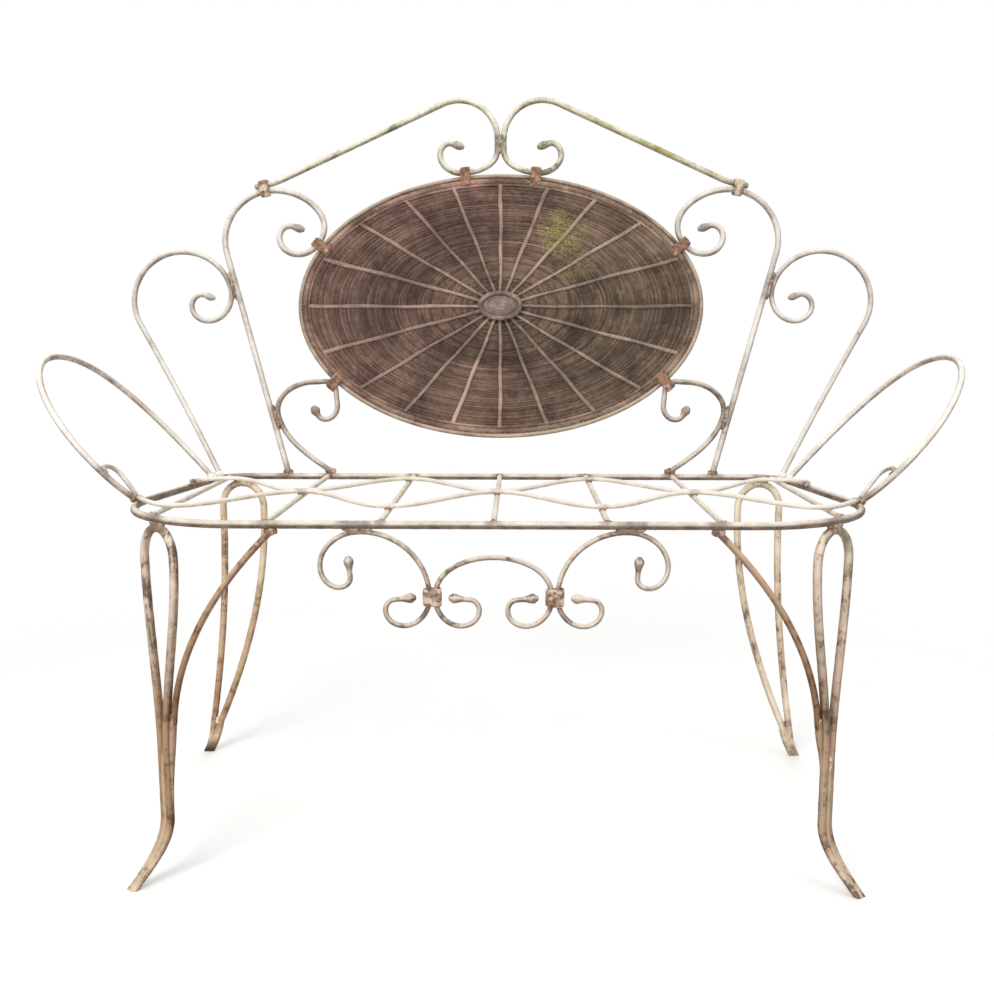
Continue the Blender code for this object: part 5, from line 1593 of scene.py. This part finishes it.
def makeWelds(name, look):
    rng = np.random.default_rng(beadMesh["seed"])
    rows = [w for w in welds if w[2] > 0 and w[4] == look]
    spot, way = np.array([w[0] for w in rows]), unitOf(np.array([w[1] for w in rows]))
    half, thick = np.array([w[2] for w in rows]), np.array([w[3] for w in rows])
    helper = np.where(np.abs(way[:, 2:]) < 0.8, vec(0, 0, 1), vec(1, 0, 0))
    side = unitOf(np.cross(helper, way))
    face = np.cross(way, side)
    n, a, b = len(rows), beadMesh["rings"], beadMesh["sides"]
    t = np.linspace(-np.pi / 2, np.pi / 2, a)[None, :, None]
    v = circle(b)[None, None]
    lump = 1 + beadMesh["lump"][0] * np.sin(3 * t + v + rng.uniform(0, 6, (n, 1, 1)))
    lump = lump + beadMesh["lump"][1] * np.sin(5 * t - 2 * v + rng.uniform(0, 6, (n, 1, 1)))
    r = thick[:, None, None] * np.maximum(np.cos(t), beadMesh["tip"]) ** beadMesh["blunt"] * lump
    spots = (spot[:, None, None] + way[:, None, None] * (half[:, None, None] * np.sin(t))[..., None]
             + side[:, None, None] * (r * np.cos(v))[..., None]
             + face[:, None, None] * (r * np.sin(v))[..., None])
    quads, _ = gridFaces(a, b, False)
    own = (quads[None] + (np.arange(n) * a * b)[:, None, None]).reshape(-1, 4)
    ends = [tubeEnds(k * a * b, a, b) for k in range(n)]
    faces = own.tolist() + [head for head, tail in ends] + [tail for head, tail in ends]
    makePiece(name, spots.reshape(-1, 3), faces, look)
    return n


beadPieces = {"weld_beads": "weldRust", "painted_beads": "weldPaint", "tan_beads": "tanBead"}
print("welds:", sum(makeWelds(name, look) for name, look in beadPieces.items()))


# attributes: facing the key light for painted light and shade; stains near a weld; lichen
sunWay = unitOf(vec(-0.15, -0.62, 0.78))
stainSettings = {
    # faces turned to the rear get a weaker painted shade:
    "backShare": -0.6,                  # the rear side gets this share of what the front gets
    "weldReach": 1.6,                   # a stain goes on past the bead, in thicknesses
    "lichenDeep": 0.03,                 # lichen keeps to the back's plane
}
lichenSpots = [      # spot in the back's plane, reach, strength
    ((0.092, 0.362), 0.042, 0.95), ((0.112, 0.320), 0.034, 0.80), ((0.15, 0.27), 0.035, 0.55),
    ((0.235, 0.27), 0.05, 0.25), ((0.16, 0.57), 0.07, 1.05), ((0.25, 0.52), 0.07, 1.15),
    ((0.06, 0.60), 0.05, 0.95), ((0.33, 0.47), 0.04, 1.0), ((0.30, 0.40), 0.05, 0.5),
    ((0.05, 0.47), 0.05, 0.5), ((-0.06, 0.60), 0.05, 0.5), ((-0.20, 0.54), 0.08, 0.4),
]


def stainPiece(piece):
    mesh = piece.data
    n = len(mesh.vertices)
    co, normal = np.empty(n * 3), np.empty(n * 3)
    mesh.vertices.foreach_get("co", co)
    mesh.vertex_normals.foreach_get("vector", normal)
    co = co.reshape(-1, 3)
    rows = [w for w in welds if w[4] == "weldRust"]
    spot = np.array([w[0] for w in rows])
    reach = np.array([w[2] + stainSettings["weldReach"] * w[3] for w in rows])
    near = np.zeros(n)
    for k in range(len(rows)):          # one weld at a time keeps the arrays small
        near = np.maximum(near, np.exp(-((co - spot[k]) ** 2).sum(1) / (2 * reach[k] ** 2)))
    own = (co - backStand["origin"]) @ backStand["axes"].T
    moss = np.zeros(n)
    for (x, y), wide, strong in lichenSpots:
        moss = np.maximum(moss,
                          strong * np.exp(-((own[:, 0] - x) ** 2 + (own[:, 1] - y) ** 2) / (2 * wide**2)))
    normal = normal.reshape(-1, 3)
    facing = np.clip(1 + 2 * normal @ backStand["axes"][2], 0, 1)
    moss = moss * facing * (np.abs(own[:, 2]) < stainSettings["lichenDeep"])
    # rear faces are turned towards the light here, so they get less painted shade
    normal = normal * np.where(normal[:, 1:2] > 0, vec(1, stainSettings["backShare"], 1), 1)
    for name, values in (("sunward", normal @ sunWay), ("nearWeld", near), ("lichen", moss)):
        addAttribute(mesh, name, values)


panelPieces = ["rush_weave", "rush_core", "cane_spokes", "hub_core", *bindings]
for piece in bars + [bpy.data.objects[name] for name in panelPieces]:
    stainPiece(piece)
print("stains laid")


# floor, light and camera
stageSettings = {
    "floor": (246, 246, 245), "floorRadius": 4, "floorRings": 8, "floorSides": 48, "floorDull": 0.9,
    "fadeFrom": 0.55, "fadeTo": 1.5,    # the floor fades into white between these distances
    "sky": 0.70, "ground": 0.34, "horizon": 0.5,
}


def makeStage():
    s = stageSettings
    rings, sides = s["floorRings"], s["floorSides"]
    far = s["floorRadius"] * np.linspace(0, 1, rings + 1)[1:, None]
    a = circle(sides)[None]
    spots = np.stack([far * np.cos(a), far * np.sin(a), 0 * far * a], -1).reshape(-1, 3)
    quads, _ = gridFaces(rings, sides, False)
    mesh = bpy.data.meshes.new("floor")
    mesh.from_pydata(spots.tolist(), [], quads.tolist() + [list(range(sides))])
    floor = bpy.data.objects.new("floor", mesh)
    bpy.context.scene.collection.objects.link(floor)
    material, tree, shader = newMaterial("paleFloor")
    far = tree.nodes.new("ShaderNodeVectorMath")
    far.operation = "LENGTH"
    put(tree, far.inputs[0], objectSpots(tree))
    put(tree, shader["Alpha"], fade(tree, far.outputs["Value"], s["fadeFrom"], s["fadeTo"], 1.0, 0.0))
    shader["Base Color"].default_value = tone(*s["floor"])
    shader["Roughness"].default_value = s["floorDull"]
    mesh.materials.append(material)
    floor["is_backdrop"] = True


def makeSky():
    world = bpy.data.worlds.new("studio")
    bpy.context.scene.world = world
    world.use_nodes = True
    tree = world.node_tree
    soft = tree.nodes["Background"]
    up = splitSpots(tree, tree.nodes.new("ShaderNodeTexCoord").outputs["Generated"])[2]
    edge = stageSettings["horizon"]
    put(tree, soft.inputs["Strength"],
        fade(tree, up, -edge, edge, stageSettings["ground"], stageSettings["sky"]))
    white = tree.nodes.new("ShaderNodeBackground")
    white.inputs["Strength"].default_value = 1.0
    for node in (soft, white):
        node.inputs["Color"].default_value = (1, 1, 1, 1)
    rays = tree.nodes.new("ShaderNodeLightPath").outputs
    shining = calc(tree, "MAXIMUM", rays["Is Glossy Ray"], rays["Is Transmission Ray"])
    seen = calc(tree, "MAXIMUM", rays["Is Camera Ray"], shining)
    mix = tree.nodes.new("ShaderNodeMixShader")
    put(tree, mix.inputs[0], seen)
    put(tree, mix.inputs[1], soft.outputs[0])
    put(tree, mix.inputs[2], white.outputs[0])
    put(tree, tree.nodes["World Output"].inputs["Surface"], mix.outputs[0])


lamps = {      # place, target, size, power, colour
    "sunSide": ((-1.0, -2.1, 2.3), (0, 0, 0.55), 1.2, 46, (1.0, 0.98, 0.955)),
    "openSide": ((1.9, -1.4, 1.6), (0, 0, 0.5), 1.6, 12, (0.96, 0.98, 1.0)),
    "overhead": ((0.2, 0.6, 2.7), (0, 0, 0.4), 2.2, 7, (1.0, 0.99, 0.98)),
    "behind": ((0.3, 2.4, 1.5), (0, 0, 0.6), 2.0, 16, (1.0, 0.99, 0.98)),
}


def aim(thing, place, target):          # looks down its own -z
    z = unitOf(np.array(place, float) - np.array(target, float))
    x = unitOf(np.cross(vec(0, 0, 1), z))
    turn = np.eye(4)
    turn[:3, 0], turn[:3, 1], turn[:3, 2], turn[:3, 3] = x, np.cross(z, x), z, place
    thing.matrix_world = Matrix(turn.tolist())


def makeLamps():
    for name, (place, target, size, power, colour) in lamps.items():
        data = bpy.data.lights.new(name, "AREA")
        data.size, data.energy, data.color = size, power, colour
        lamp = bpy.data.objects.new(name, data)
        bpy.context.scene.collection.objects.link(lamp)
        aim(lamp, place, target)


photoView = {       # degrees to the left and down; focal length and taller side in pixels
    "place": (0.0268, -1.43985, 0.6612), "turn": 1.1, "tilt": 8.577, "focal": 1077.46, "frame": 995,
    "sensor": 36, "near": 0.05,
}


def makeCamera():
    turn, tilt = np.radians(photoView["turn"]), np.radians(photoView["tilt"])
    ahead = vec(-np.sin(turn) * np.cos(tilt), np.cos(turn) * np.cos(tilt), -np.sin(tilt))
    data = bpy.data.cameras.new("photoCamera")
    data.sensor_width = photoView["sensor"]
    data.lens = photoView["focal"] * photoView["sensor"] / photoView["frame"]
    data.clip_start = photoView["near"]
    camera = bpy.data.objects.new("photoCamera", data)
    bpy.context.scene.collection.objects.link(camera)
    aim(camera, photoView["place"], np.array(photoView["place"]) + ahead)
    bpy.context.scene.camera = camera


makeStage()
makeSky()
makeLamps()
makeCamera()
bpy.context.scene.view_settings.view_transform = "Standard"

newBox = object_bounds()
for label, (low, high) in (("solids", cadBox), ("visual", newBox)):
    print(label, "measure", [round(float(b - a), 4) for a, b in zip(low, high)])
